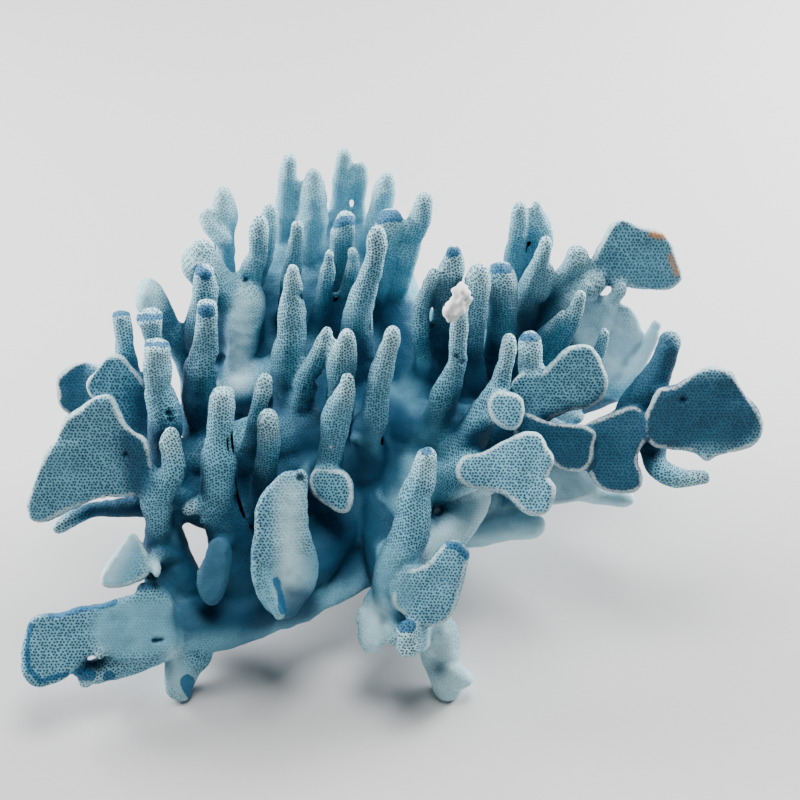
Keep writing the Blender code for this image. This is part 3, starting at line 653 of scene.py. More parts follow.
SPOTS = (
    Spot(Mark.PIT, ((-94, -18.5),), 1.1, (0, 16)),
    Spot(Mark.PIT, ((-79, -4.5),), 1.2, (-2, 14)),
    Spot(Mark.PIT, ((-78.4, -6.8),), 1.0, (-2, 14)),
    Spot(Mark.PIT, ((-61.6, 14.2), (-62.3, 12.2)), 1.4, (20, 60)),
    Spot(Mark.PIT, ((-53, 41.2),), 1.1, (26, 54)),
    Spot(Mark.PIT, ((-33.6, 35.5),), 1.1, (4, 24)),
    Spot(Mark.PIT, ((-27.2, 7),), 1.4, (10, 34)),
    Spot(Mark.PIT, ((19.2, 15),), 0.9, (-4, 16)),
    Spot(Mark.PIT, ((21.2, 13),), 0.9, (-4, 18)),
    Spot(Mark.PIT, ((97, 0),), 1.2, (2, 20)),
    Spot(Mark.PIT, ((-34.2, -26.5),), 1.5, (-4, 8)),
    Spot(Mark.PIT, ((-84.2, -82.4), (-81.8, -82)), 0.9, (4, 26)),
    Spot(Mark.BREAK, ((-98.4, 29.3), (-92.4, 30.2)), 1.1, (16, 36)),
    Spot(Mark.BREAK, ((-90.2, 28), (-81.4, 28.4)), 1.3, (4, 24)),
    Spot(Mark.BREAK, ((-87.4, 19), (-79.2, 19)), 0.9, (-6, 12)),
    Spot(Mark.BREAK, ((-67.2, 30.6), (-65.2, 30.4)), 2.3, (0, 22)),
    Spot(Mark.BREAK, ((-69, 44.6), (-66.4, 42.8)), 1.9, (12, 36)),
    Spot(Mark.BREAK, ((-22, 60), (-18.5, 61.6), (-15.4, 61.4)), 1.6, (26, 50)),
    Spot(Mark.BREAK, ((-7, 62.6), (-0.4, 63.2)), 2.2, (24, 48)),
    Spot(Mark.BREAK, ((17, 50.6), (19.4, 51)), 1.5, (4, 22)),
    Spot(Mark.BREAK, ((32.6, 45), (37, 45)), 1.8, (12, 36)),
    Spot(Mark.BREAK, ((42.2, 21.4), (46.8, 21.6)), 1.4, (6, 24)),
    Spot(Mark.BREAK, ((16.6, -49.4), (20, -50.2), (22.8, -53.4)), 1.5, (-6, 14)),
    Spot(Mark.BREAK, ((1.4, -77.2), (3.2, -77.2)), 2.5, (-6, 12)),
    Spot(Mark.BREAK, ((-42.4, -61.6), (-41, -67), (-40.2, -72)), 1.2, (-2, 16)),
    Spot(Mark.BREAK, ((-119, -73.6), (-110, -71.6), (-98, -69.2)), 1.3, (0, 20)),
    Spot(
        Mark.BREAK, ((-126.4, -77), (-127.6, -85), (-127, -92), (-123, -96.2), (-114, -93.6)), 1.0, (2, 22)
    ),
    Spot(Mark.BREAK, ((-73, -96.5), (-70.6, -100.5)), 2.6, (16, 40)),
    Spot(Mark.BREAK, ((-110.6, -93.6), (-106, -94)), 2.4, (10, 28)),
    Spot(Mark.BREAK, ((-99.6, -94.6),), 2.2, (10, 28)),
    Spot(Mark.BREAK, ((8.8, -17.6),), 1.9, (-6, 8)),
    Spot(Mark.CRUST, ((20.8, 38.4), (20.4, 34), (17, 30.6)), 4.2, (-10, 5)),
    Spot(Mark.CRUST, ((-23.6, -16),), 0.7, (8, 40)),
    Spot(Mark.CRUST, ((-101.4, -33.4),), 0.9, (0, 30)),
    Spot(Mark.RUST, ((86.4, 56.6), (90, 56)), 0.8, (10, 50)),
    Spot(Mark.RUST, ((92.6, 49), (94.6, 43.4)), 0.9, (10, 50)),
    Spot(Mark.RUST, ((98.4, -21.8),), 0.8, (2, 24)),
    # Bare smooth undersides; several of these spots are also painted light on arms and fans in shade.
    Spot(Mark.BARE_AND_LIT, ((4, -57), (14, -49), (28, -34)), 6.0, (22, 64)),
    Spot(Mark.BARE_AND_LIT, ((26, -44), (50, -43)), 7.0, (44, 90)),
    Spot(Mark.BARE_AND_LIT, ((44, -30), (60, -28), (80, -34)), 7.0, (40, 84)),
    Spot(Mark.BARE_AND_LIT, ((12, -80), (17, -98), (25, -97)), 7.5, (12, 50)),
    Spot(Mark.BARE_AND_LIT, ((-9.5, -84), (-9, -74)), 5.0, (8, 34)),
    Spot(Mark.BARE_AND_LIT, ((66, 28), (74, 16), (82, 20)), 10.0, (38, 84)),
    Spot(Mark.BARE_AND_LIT, ((-54, 32), (-55, 6)), 4.0, (36, 84)),
    Spot(Mark.BARE_AND_LIT, ((-87, 38), (-87, 33)), 4.0, (20, 42)),
    Spot(Mark.BARE_AND_LIT, ((-91.8, -47), (-99.6, -60.6)), 1.5, (0, 20)),
    Spot(Mark.BARE_AND_LIT, ((-84.4, -56), (-83, -60)), 1.5, (0, 20)),
    Spot(Mark.BARE_AND_LIT, ((-77, -88), (-78, -96)), 2.0, (10, 40)),
    Spot(Mark.BARE_AND_LIT, ((-38, -32), (-37.5, -48), (-37.5, -66)), 4.5, (-2, 14)),
    # Painted shade: dark blue spots where shadow falls.
    Spot(Mark.PAINTED_SHADE, ((13.4, -92),), 2.0, (14, 40)),
    Spot(Mark.PAINTED_SHADE, ((-60, -48), (-62, -64)), 8.0, (0, 30)),
    Spot(Mark.PAINTED_SHADE, ((-72, -75), (-54, -72), (-34, -70)), 6.0, (8, 80)),
    Spot(Mark.PAINTED_SHADE, ((-86, -50), (-79, -56), (-73, -60)), 8.0, (14, 60)),
    Spot(Mark.PAINTED_SHADE, ((74, -8), (74, -27)), 11.0, (6, 30)),
    Spot(Mark.PAINTED_SHADE, ((-114, 7), (-114, 0)), 8.0, (36, 60)),
    Spot(Mark.PAINTED_SHADE, ((-106, -38), (-88, -38)), 3.0, (14, 36)),
    Spot(Mark.PAINTED_SHADE, ((-91, -14), (-89, -28)), 5.0, (-4, 30)),
    Spot(Mark.PAINTED_SHADE, ((52, -14), (60, -16)), 9.0, (4, 22)),
    Spot(Mark.PAINTED_SHADE, ((86, 12), (88, -6), (100, -4), (112, -4)), 12.0, (-4, 30)),
    Spot(Mark.PAINTED_SHADE, ((-20, -34), (-20, -54)), 7.0, (22, 70)),
    Spot(Mark.PAINTED_SHADE, ((-3, -6), (-4, -28)), 5.0, (30, 80)),
    Spot(Mark.PAINTED_SHADE, ((-55, -46), (-60, -70)), 5.0, (24, 70)),
    Spot(Mark.WORN, ((-96, -78), (-76, -77), (-52, -68), (-30, -62)), 9.0, (4, 80)),
    Spot(Mark.WORN, ((-60, -82), (-44, -78), (-24, -70)), 6.0, (4, 80)),
    Spot(Mark.WORN, ((-92, -50), (-98, -60)), 6.0, (0, 20)),
    Spot(Mark.WORN, ((-84.4, -56), (-83, -60)), 2.0, (0, 20)),
    Spot(Mark.WORN, ((-61, -50), (-64, -66)), 6.0, (0, 30)),
    Spot(Mark.WORN, ((-76, -92), (-74, -98)), 4.0, (10, 40)),
    Spot(Mark.WORN, ((-20, -20), (-20, -60)), 14.0, (22, 90)),
    Spot(Mark.WORN, ((4, 4), (2, -30)), 10.0, (28, 90)),
    Spot(Mark.WORN, ((-78, -52), (-72, -70)), 9.0, (16, 70)),
    Spot(Mark.WORN, ((-2, -58), (-6, -74)), 7.0, (6, 60)),
)


def nearest_spot(kind: Mark, places: np.ndarray) -> np.ndarray:
    """Measures how far points are outside the nearest spot of a kind.

    Args:
        kind: The kind of spot.
        places: (across, up, behind) of each point.

    Returns:
        Millimetres, below 0 inside a spot.
    """
    return np.min([spot.reach(places) for spot in SPOTS if spot.kind is kind], axis=0)


# The colony's branches.


@dataclass
class Base(Branch):
    """The squat base: trunk, front lip and the inner ridges that carry the crown."""

    name: str = "base"
    shapes: tuple[Shape, ...] = (
        Limb(((0, 0, -8, 20), (0, -1, 10, 19), (0, -2, 30, 22), (0, -2, 50, 24), (0, -1, 56, 18))),
        Limb(((21, 11, -6, 8), (16, 9, 9, 8.5), (9, 6, 34, 13))),
        Limb(((-17, 17, -6, 8.5), (-13, 13, 12, 9), (-7, 7, 36, 13))),
        Limb(((-20, -14, -6, 7), (-15, -12, 10, 8), (-8, -8, 32, 12))),
        Limb(((14, -19, -6, 7), (11, -16, 11, 8), (6, -9, 32, 12))),
        Limb(((-31, -62, 38, 5), (-25, -51, 38, 8), (-17, -34, 38, 13), (-7, -14, 38, 18))),
        Limb(((2, -60, 38, 7), (2, -48, 38, 10), (1, -32, 40, 14), (1, -12, 42, 18))),
        Blade(((-46, -70), (-38, -74), (-29, -70), (-19, -67), (-10, -62), (0, -60), (8, -50), (9, -30),
            (5, -12), (-10, -4), (-30, -6), (-46, -14), (-54, -30), (-56, -50), (-53, -66)), 45,
            half_thick=4.5, lean_up=0.5),
        Rod(((3, -57, 6), (12, -51, 6.5), (20, -42, 7), (24, -32, 8)), (26, 46)),
        Rod(((-24, -58, 6), (-20, -40, 9), (-20, -20, 12), (-24, 0, 13), (-28, 16, 12)), (34, 66)),
        Rod(((0, -52, 8), (2, -34, 11), (4, -14, 13), (6, 6, 12), (4, 22, 11), (-2, 36, 10)), (32, 74)),
        Rod(((-84, -24, 5), (-72, -20, 8), (-58, -18, 11), (-40, -14, 12), (-20, -10, 12)), (36, 48)),
        Rod(((-74, -2, 6), (-64, 2, 8), (-52, 4, 10), (-36, 8, 11), (-22, 10, 12)), (56, 64)),
        Blade(((-56, 10), (-50, 26), (-46, 44), (-40, 56), (-32, 60), (-22, 60), (-13, 58), (-4, 52),
            (2, 40), (6, 24), (12, 4), (-20, -4), (-50, -2)), 72, half_thick=4.5, lean_up=0.1),
        Rod(((62, -14, 6), (50, -13, 8), (36, -12, 10), (20, -12, 12), (5, -10, 12)), (38, 46)),
        Rod(((74, 16, 7), (60, 14, 8), (46, 14, 9), (28, 14, 10), (10, 14, 11)), (68, 62)),
        Blade(((8, 2), (10, 20), (16, 34), (26, 38), (36, 40), (46, 40), (54, 34), (60, 24), (58, 8),
            (50, -4), (24, -8)), 64, half_thick=4.5, lean_up=0.1),
        Limb(((-85, -30, 52, 6), (-70, -28, 51, 8), (-40, -24, 50, 12), (-5, -11, 50, 17))),
        Limb(((50, -18, 62, 9), (30, -20, 54, 13), (9, -14, 48, 17))),
        Limb(((87, 19, 61, 8), (67, 15, 58, 10), (40, 14, 54, 14), (10, 9, 50, 18))),
        Limb(((-55, 22, 58, 9), (-33, 18, 54, 13), (-5, 9, 50, 18))),
        Limb(((-13, 50, 60, 11), (-9, 34, 54, 15), (-3, 12, 48, 18))),
        Limb(((-39, 48, 60, 9), (-15, 51, 63, 12), (11, 42, 62, 10))),
    )


@dataclass
class LeftArm(Branch):
    """The low arm at the front left, broken at its end, with its foot and stubs."""

    name: str = "left_arm"
    shapes: tuple[Shape, ...] = (
        Blade(((-126, -77), (-123, -73.8), (-117, -73.8), (-110, -72), (-100, -69.8), (-94, -68),
            (-88, -66.6), (-80, -67), (-78, -84), (-88, -88.5), (-97, -87.6), (-103, -85),
            (-108.5, -88.2), (-114, -93), (-119, -95.6), (-124, -96.6), (-127.4, -92), (-127.4, -85)), 12,
            half_thick=4.2, lean_across=0.15),
        Rod(((-112, -91, 3.2), (-105, -93.2, 4.2), (-97, -90, 5.6), (-86, -84, 7.4), (-74, -78, 9),
            (-60, -76, 9.6), (-46, -71, 9.5), (-34, -66, 10)), (15.5, 34)),
        Rod(((-108.5, -98.5, 3), (-107, -93.5, 4)), (18, 20)),
        Rod(((-102, -96.5, 2.6), (-101, -91, 4)), (17, 18)),
        Rod(((-102.5, -88.5, 1.7), (-102.5, -85, 2.2)), (8, 10)),
        Rod(((-73.6, -102.8, 4), (-75.2, -97, 5.4), (-73.8, -91, 6.7), (-71.4, -86, 7.6), (-70, -80, 7)),
            (30, 28)),
    )


@dataclass
class LeftWall(Branch):
    """The wall that rises from the low arm to a slim finger, with its ear and tusk."""

    name: str = "left_wall"
    shapes: tuple[Shape, ...] = (
        Rod(((-78.5, -9.8, 2.2), (-78.7, -15, 3.5), (-77.6, -20, 4), (-78, -25, 4.8), (-81, -29, 5.6),
            (-83.3, -34, 5.7), (-82.3, -40, 5), (-82.4, -44.5, 4.8), (-83, -48, 4.4)), (2, 20)),
        Rod(((-82, -36, 4.6), (-80.5, -45, 6.4), (-80, -52, 8.2), (-78.5, -58, 9.6), (-76, -65, 10.5),
            (-73, -73, 10)), (20, 36)),
        Blade(((-91.6, -45), (-94.2, -48.5), (-98, -54.5), (-101.6, -60.6), (-99.8, -63), (-94, -62.8),
            (-89, -61), (-86.5, -58), (-88, -52)), 9, half_thick=2.1, lean_across=0.5),
        Rod(((-90, -57, 2.4), (-84, -58, 5)), (14, 26)),
        Rod(((-83, -60.6, 1.3), (-83.4, -57.6, 1.9), (-84.4, -55, 2.1), (-80, -53, 3), (-77, -54, 3)),
            (8, 22)),
        Rod(((-89.2, -64.6, 1.9), (-84, -64, 3.4)), (12, 18)),
    )


@dataclass
class LeftFan(Branch):
    """The big fan at the far left, with the spike under it."""

    name: str = "left_fan"
    shapes: tuple[Shape, ...] = (
        Blade(((-127, -41.5), (-128, -38), (-126, -30), (-123.5, -24), (-120.5, -19.5), (-117.5, -15),
            (-115, -10.5), (-112, -6), (-108, -3.8), (-105, -1), (-102.5, 0.8), (-99.5, 1.4), (-97, 0),
            (-95.8, -3.5), (-94, -8), (-91, -11), (-88, -13), (-86.3, -17), (-86, -22), (-84.5, -27),
            (-86, -31), (-95, -32.5), (-103, -33), (-110, -35.5), (-118, -39), (-124, -41.8)), 8,
            half_thick=2.2, lean_across=0.1, lean_up=-0.4),
        Rod(((-118.7, -44.8, 2), (-113, -41.2, 2.5), (-106, -38, 3.1), (-98, -37, 3.1), (-90, -36.5, 4),
            (-80, -36, 5)), (20, 28)),
        Rod(((-98, -25, 2.5), (-90, -28, 4), (-82, -33, 6), (-74, -36, 6.5)), (17, 30)),
    )


@dataclass
class LeftBackFan(Branch):
    """The two small fans behind the big one, and their stalk with a broken top."""

    name: str = "left_back_fan"
    shapes: tuple[Shape, ...] = (
        Blade(((-117, 6), (-116, 1.5), (-117, -1), (-114, -4), (-110, -5.5), (-104, -4), (-97, -3),
            (-92, 0), (-93, 8), (-98, 11), (-103, 11.5), (-107, 12.6), (-110, 12.4), (-114, 9.5)), 42,
            lean_up=-0.3),
        Blade(((-106.5, 4), (-105, 7.5), (-102, 11), (-99, 14), (-96.5, 15), (-93, 13.5), (-90.5, 10),
            (-87.5, 6), (-85, -2), (-83, -10), (-83, -18), (-86, -21), (-90, -19), (-94, -14), (-97, -7),
            (-98, -1), (-101, 0.3), (-104.5, 1)), 28, half_thick=2.4, lean_up=-0.5),
        Rod(((-95.4, 29.8, 3.8), (-95, 26, 3.2), (-94.2, 20, 3.4), (-93.4, 14, 3.7), (-92, 6, 4),
            (-90, -2, 4.2), (-86.5, -11, 4.6), (-84.5, -18, 5.2), (-80, -28, 7)), (24, 52), blunt=True),
    )


@dataclass
class LeftFingers(Branch):
    """The thick finger, the cup and the bulb at the left."""

    name: str = "left_fingers"
    shapes: tuple[Shape, ...] = (
        Rod(((-83.2, 19, 4.7), (-83.2, 15, 4.6), (-83, 10, 4.9), (-82.6, 5, 4.6), (-81.5, 0, 5.3),
            (-80.5, -5, 6.3), (-80.5, -10, 6), (-81, -15, 5.2), (-80, -22, 6.5), (-76, -32, 7)), (0, 38),
            blunt=True),
        Rod(((-85.8, 28.8, 5), (-85.3, 25.5, 3.8), (-84.4, 20, 3.3), (-84, 12, 3.6), (-82, -4, 4.4),
            (-79, -16, 5)), (12, 44), blunt=True),
        Rod(((-85.8, 41.5, 3.4), (-86, 37, 4.9), (-84.5, 32.5, 5.6), (-80, 26, 4.9), (-76.5, 20, 4.5),
            (-72.5, 12, 4.4), (-70.5, 2, 5), (-70, -10, 6)), (32, 64)),
    )


@dataclass
class LeftBrokenFingers(Branch):
    """Two fingers with broken blue tops and a thick lobe."""

    name: str = "left_broken_fingers"
    shapes: tuple[Shape, ...] = (
        Rod(((-66, 33.2, 3.3), (-66, 28, 3.7), (-66.3, 22, 4.3), (-67.3, 15, 4.9), (-68.5, 8, 5.9),
            (-68.7, 1, 6.2), (-68, -7, 5.2), (-66.5, -14, 4.6), (-63, -24, 6)), (8, 50), blunt=True),
        Rod(((-66.5, 45, 3), (-66.5, 40, 4), (-66.8, 35, 4.6), (-68.5, 28, 5.3), (-69.5, 20, 5)),
            (20, 44), blunt=True),
        Rod(((-67.5, 54, 4), (-68, 47, 7.5), (-64.5, 42, 7.2), (-60, 35, 7), (-58, 22, 7.5), (-57, 8, 8)),
            (32, 70)),
        Rod(((-52, 43, 4.5), (-53, 33, 7.5), (-54, 22, 6.5), (-55.3, 12, 4.5), (-56, 4, 3.5),
            (-56, -6, 4)), (46, 60)),
    )


@dataclass
class BackLeftFingers(Branch):
    """The knobbed and the slim finger at the back left, on their wall."""

    name: str = "back_left_fingers"
    shapes: tuple[Shape, ...] = (
        Rod(((-60.5, 73.2, 2.8), (-60.2, 68, 4.2), (-60.2, 62, 5.2), (-60, 57, 4.2), (-59.5, 51, 3.3),
            (-58.8, 44, 3.2), (-58, 36, 4.5), (-56.5, 24, 6), (-54, 8, 8)), (45, 84)),
        Rod(((-67.3, 65, 3), (-64.5, 60, 3.6), (-60.5, 55, 3.5)), (47, 50)),
        Rod(((-47.5, 62.7, 2.5), (-48, 57, 3.6), (-48.7, 50, 3.7), (-50.5, 45, 4.4), (-52.5, 39, 5),
            (-53, 32, 7), (-54, 22, 8), (-54, 10, 8)), (30, 74)),
        Rod(((-44.3, 66.6, 2.6), (-44.8, 60, 3), (-46, 52, 3.2), (-49, 42, 4)), (40, 60)),
    )


@dataclass
class FrontLeftFinger(Branch):
    """The blunt finger at the front left, its ridge and its hanging ear."""

    name: str = "front_left_finger"
    shapes: tuple[Shape, ...] = (
        Rod(((-60.5, 3.2, 3.8), (-60.5, 0, 4.4), (-61, -5, 4.5), (-61.5, -12, 4.8), (-62, -16, 5.5),
            (-62, -21, 6.5), (-62, -27, 6.5), (-62, -33, 6.6), (-60.5, -39, 7.4), (-58.5, -46, 8),
            (-56.5, -53, 8.5), (-55, -61, 9.5), (-54, -70, 9)), (0, 34), blunt=True),
        Rod(((-82, -38, 3), (-74, -38.5, 3), (-66, -40, 4.2), (-58, -39, 6), (-48, -38, 7)), (24, 38)),
        Rod(((-76, -36.5, 1), (-72.5, -37.3, 1.7)), (13, 17)),
        Rod(((-74, -38.6, 2.4), (-70.5, -36.2, 3.2), (-66, -36, 4)), (11, 18)),
        Rod(((-68.5, -41.8, 1.4), (-66.5, -40, 2)), (15, 18)),
        Blade(((-62, -46.6), (-58.8, -49), (-57.6, -54), (-58.4, -60), (-60.8, -66), (-64, -70),
            (-67.2, -68), (-69.4, -63.4), (-68.4, -58), (-66, -53.6), (-64.6, -49.6)), 10, half_thick=2,
            lean_across=-0.35, lean_up=-0.15, pale_rim=False),
        Rod(((-62.5, -52, 2.6), (-60, -49, 3.4), (-57, -46, 5)), (11, 26)),
    )


@dataclass
class FrontLeftPair(Branch):
    """Two fingers side by side, one in front of the other."""

    name: str = "front_left_pair"
    shapes: tuple[Shape, ...] = (
        Rod(((-45, -4, 2.8), (-45, -8, 3.8), (-45, -14, 4.1), (-45.5, -20, 4.2), (-46.3, -26, 4.3),
            (-47.2, -31, 4.6), (-47.5, -36, 5.2), (-46, -44, 6.5)), (1, 38)),
        Rod(((-45.8, 8.8, 2.3), (-46.6, 4, 3), (-48, -1, 3.1), (-49.5, -8, 3.3), (-51, -16, 3.6),
            (-52.5, -26, 4.3), (-53, -34, 5), (-52, -42, 6)), (10, 44)),
    )


@dataclass
class FrontSlab(Branch):
    """The broad slab at the front."""

    name: str = "front_slab"
    shapes: tuple[Shape, ...] = (
        Blade(((-38.4, -24), (-42, -28), (-46, -32), (-48.3, -37), (-48.2, -43), (-49.4, -50),
            (-49.6, -60), (-48, -66.5), (-45, -71.5), (-42, -74), (-38.5, -75), (-35, -70.5), (-31, -66),
            (-29, -59), (-30, -53), (-32, -45), (-32.6, -35), (-31.8, -27), (-33, -24), (-36, -26.8)), 7,
            half_thick=3, lean_across=0.55, lean_up=-0.25, pale_rim=False),
        Rod(((-33.8, -24.2, 2.3), (-34.5, -30, 2.8)), (2, 6)),
        Rod(((-46, -38, 1.8), (-46.8, -45, 2.4), (-47, -53, 2.6), (-46.6, -61, 2.6), (-44, -68, 2.4),
            (-41.4, -73, 2)), (2, 6)),
        Rod(((-40, -36, 4), (-39, -48, 6), (-37, -60, 8), (-34, -64, 8)), (14, 32)),
    )


@dataclass
class MiddleLeftFingers(Branch):
    """A tall and a short slim finger left of the middle."""

    name: str = "middle_left_fingers"
    shapes: tuple[Shape, ...] = (
        Rod(((-36.6, 46.5, 2.3), (-36.7, 42, 3), (-36.7, 36, 3.6), (-37, 28, 5.1), (-37, 22, 5.3),
            (-38, 15, 6), (-38.5, 8, 6.2), (-37.5, -2, 6.5), (-36, -12, 7.5)), (7, 56)),
        Rod(((-25, 25, 2.2), (-25.6, 21, 2.9), (-28, 15, 3.3), (-30.5, 10, 3.8), (-32, 5, 4),
            (-34, -4, 5)), (12, 42)),
    )


@dataclass
class MiddleFingers(Branch):
    """Two fingers and a broken stub in the middle."""

    name: str = "middle_fingers"
    shapes: tuple[Shape, ...] = (
        Rod(((-17.8, 24, 3.1), (-18.3, 20, 3.8), (-19.5, 14, 4.7), (-20, 7, 4.8), (-20.5, 0, 5),
            (-21, -10, 6)), (5, 42)),
        Rod(((-17.8, 8.9, 2.5), (-18.3, 4, 3.3), (-19.5, 0, 4), (-21.5, -5, 4.7), (-22.8, -12, 4.8),
            (-23.5, -18, 4.6), (-25, -24, 5.2), (-25, -36, 7)), (0, 38)),
        Blade(((-29, -24), (-25, -24.3), (-20, -24.6), (-17.6, -27), (-16.7, -31), (-17, -35.5),
            (-18.6, -38), (-21, -37.6), (-24, -36), (-27, -34), (-29.5, -31), (-30.5, -27)), 20,
            half_thick=3, lean_across=-0.35),
        Rod(((-24, -30, 4), (-28, -30, 6)), (24, 36)),
    )


@dataclass
class FrontMiddleFinger(Branch):
    """The finger in front of the middle."""

    name: str = "front_middle_finger"
    shapes: tuple[Shape, ...] = (
        Rod(((-2.2, 24.9, 2.5), (-3, 20, 3.3), (-5, 14, 3.7), (-6.8, 8, 4.2), (-8, 0, 4.6), (-9, -6, 5.3),
            (-11, -11, 6), (-10.5, -17, 6.5), (-10, -28, 8)), (0, 44)),
        Rod(((-16.8, -13, 2.8), (-12, -13, 4)), (26, 30)),
    )


@dataclass
class CentreFinger(Branch):
    """The tall finger in the middle."""

    name: str = "centre_finger"
    shapes: tuple[Shape, ...] = (
        Rod(((-7.7, 59.2, 2.5), (-8, 54, 3.3), (-9, 47, 3.7), (-11, 40, 4.3), (-13.5, 33, 5.2),
            (-14.5, 25, 6), (-15, 14, 7), (-15, 2, 9)), (10, 62)),
    )


@dataclass
class BackCrownLeft(Branch):
    """The left row of tall fingers at the back."""

    name: str = "back_crown_left"
    shapes: tuple[Shape, ...] = (
        Rod(((-37.3, 84, 2.7), (-38, 78, 3.4), (-39, 70, 3.8), (-39.5, 62, 4), (-40.5, 50, 4.4),
            (-41, 38, 5), (-40, 28, 6)), (48, 96)),
        Rod(((-29.3, 79.2, 3), (-29.5, 74, 4.1), (-29.8, 66, 5.3), (-30.2, 58, 6), (-31, 48, 7),
            (-32, 36, 8)), (48, 84)),
        Rod(((-34.8, 61, 2.1), (-35.5, 55, 2.8), (-36.5, 48, 3.2), (-37.5, 38, 4.2), (-38, 28, 5)),
            (34, 66)),
        Rod(((-24, 51, 2), (-24.6, 45, 2.7), (-25.5, 38, 3), (-27, 30, 3.8), (-29, 18, 6)), (28, 66)),
    )


@dataclass
class BackCrown(Branch):
    """The tallest fingers at the back."""

    name: str = "back_crown"
    shapes: tuple[Shape, ...] = (
        Rod(((-18.7, 86.2, 2.8), (-19.2, 80, 3.5), (-20.2, 72, 3.5), (-21.5, 64, 3.8), (-23, 55, 4.8),
            (-25, 40, 7)), (50, 92)),
        Rod(((-13, 81.6, 2.3), (-13.2, 76, 2.7), (-13.5, 70, 2.2), (-13.8, 62, 2.6), (-15, 52, 3.8),
            (-17, 40, 6)), (54, 92)),
        Rod(((-18.3, 62.5, 3.3), (-19.5, 57, 4.2), (-20.5, 50, 4.8), (-21.5, 42, 5), (-22, 32, 7)),
            (36, 70), blunt=True),
        Rod(((-16.5, 52, 2), (-15.8, 47, 2.5), (-17.5, 40, 2.8), (-19.5, 32, 3.2), (-21, 24, 5)),
            (34, 60)),
    )


@dataclass
class BackCrownRight(Branch):
    """The right row of tall fingers at the back."""

    name: str = "back_crown_right"
    shapes: tuple[Shape, ...] = (
        Rod(((-4.3, 78, 2.9), (-4.8, 73, 3.9), (-6, 67, 4.3), (-8, 60, 4.6), (-10, 50, 5.5),
            (-12, 38, 7)), (46, 84)),
        Rod(((-3.8, 64.8, 4.7), (-3.8, 60, 5.2), (-5, 52, 4.6), (-7, 44, 4.8), (-9, 32, 6)), (36, 68)),
        Rod(((8.6, 70.6, 3), (7.8, 65, 3.7), (5.8, 59, 4), (3, 51, 4.1), (0.5, 43, 4.2), (-2, 35, 4.6),
            (-5, 28, 5), (-7, 18, 6.5)), (34, 80)),
    )


@dataclass
class RightMiddleFingers(Branch):
    """Fingers with blue and pale tops right of the middle."""

    name: str = "right_middle_fingers"
    shapes: tuple[Shape, ...] = (
        Rod(((18.3, 52.6, 3), (18.3, 48, 3.8), (17.2, 43, 4.6), (16, 38, 5), (15, 28, 4.6), (14, 16, 5),
            (13, 4, 7)), (12, 64)),
        Rod(((12, 44.5, 2.2), (9.5, 38, 2.7), (7.5, 31, 3), (7, 23, 3.3), (8.5, 14, 3.8), (10, 2, 6)),
            (13, 56)),
        Rod(((27.3, 46.4, 3.1), (27, 42, 4.2), (26.6, 35, 4.2), (26.3, 28, 3.8), (25.5, 20, 3.3),
            (25.8, 12, 3.9), (25.5, 4, 4.3), (23, -6, 6.5)), (10, 58)),
    )


@dataclass
class CrustedFinger(Branch):
    """The finger with a white crust on its tip."""

    name: str = "crusted_finger"
    shapes: tuple[Shape, ...] = (
        Rod(((20.4, 33, 3), (20.2, 27, 3), (19.5, 20, 3.2), (19.5, 13, 3.3), (17.5, 7, 4.3), (15.5, 1, 5),
            (14, -4, 5.5), (11.5, -10, 6.3), (8, -18, 7), (5, -26, 8)), (0, 50)),
        Rod(((20.9, 39.9, 1.7), (20.7, 37, 2.5), (20.6, 33.5, 3), (20, 30, 3)), (-2.5, 0)),
        Rod(((23.9, 35.2, 1.3), (21.5, 33, 2.6)), (-2, 0)),
        Rod(((16.4, 34.6, 1.4), (18, 32.4, 2.5), (20, 31, 3)), (-2, 0)),
        Rod(((14.7, 30.6, 1.5), (17, 30.4, 2.4), (19.5, 30, 2.8)), (-2, 0)),
        Rod(((16.8, 26.9, 1.3), (17.6, 28.8, 2), (19, 30, 2.6)), (-1.5, 1)),
    )


@dataclass
class RightFrontFan(Branch):
    """The front fan at the right and the finger above it."""

    name: str = "right_front_fan"
    shapes: tuple[Shape, ...] = (
        Blade(((27, -19), (31, -17.5), (35, -14.8), (40, -12.6), (43, -11.5), (46, -11.4), (48.3, -13),
            (49.5, -16.5), (51.7, -19.5), (51.4, -22.5), (49.5, -26), (52, -29.5), (51.6, -33.5),
            (50, -38), (46.5, -38.8), (43, -37.8), (40, -35), (36, -31.6), (30, -30.4), (24, -29.5),
            (20, -26), (22, -20)), 3, half_thick=2.3, lean_across=-0.3),
        Rod(((38, -24, 3), (30, -24, 5), (24, -24, 7), (14, -27, 9)), (8, 38)),
        Rod(((37.3, 22.2, 2.3), (36.8, 17.5, 2.9), (35.4, 11, 3.1), (33.8, 5, 3.6), (31, -1, 4.3),
            (27.8, -6, 5.4), (25, -11, 6.2), (20, -18, 8)), (0, 32)),
        Blade(((33, 2.2), (36.5, 1.8), (40, 1.2), (42, -1.4), (41.8, -5), (40.8, -8.4), (37.8, -9.8),
            (34.6, -8.6), (32, -6.4), (30.5, -2)), 7, half_thick=2.3, lean_across=-0.2),
        Rod(((37, -4, 3), (31, -5, 4.6)), (9, 18)),
    )


@dataclass
class FrontFinger(Branch):
    """The thick finger at the front, with its plate."""

    name: str = "front_finger"
    shapes: tuple[Shape, ...] = (
        Rod(((9.2, -16.3, 3), (9, -20, 3.9), (7.5, -27, 4.8), (5.5, -33, 5.6), (4.5, -41, 6.3),
            (2, -49, 7), (-1, -56, 7.6), (-2.5, -63, 7.3), (-2.5, -70, 6)), (0, 18)),
        Rod(((0, -60, 7), (-3, -50, 9)), (16, 36)),
        Blade(((1, -60), (5, -58.3), (9, -56.8), (12, -53.5), (14.5, -50.3), (17, -48.4), (20, -48.8),
            (23.2, -52.5), (22, -56), (20.8, -61), (19, -68), (16.3, -74.5), (12, -76.8), (8, -76.4),
            (3, -74), (-2, -69)), 5, half_thick=3, lean_across=-0.25, lean_up=-0.12),
    )


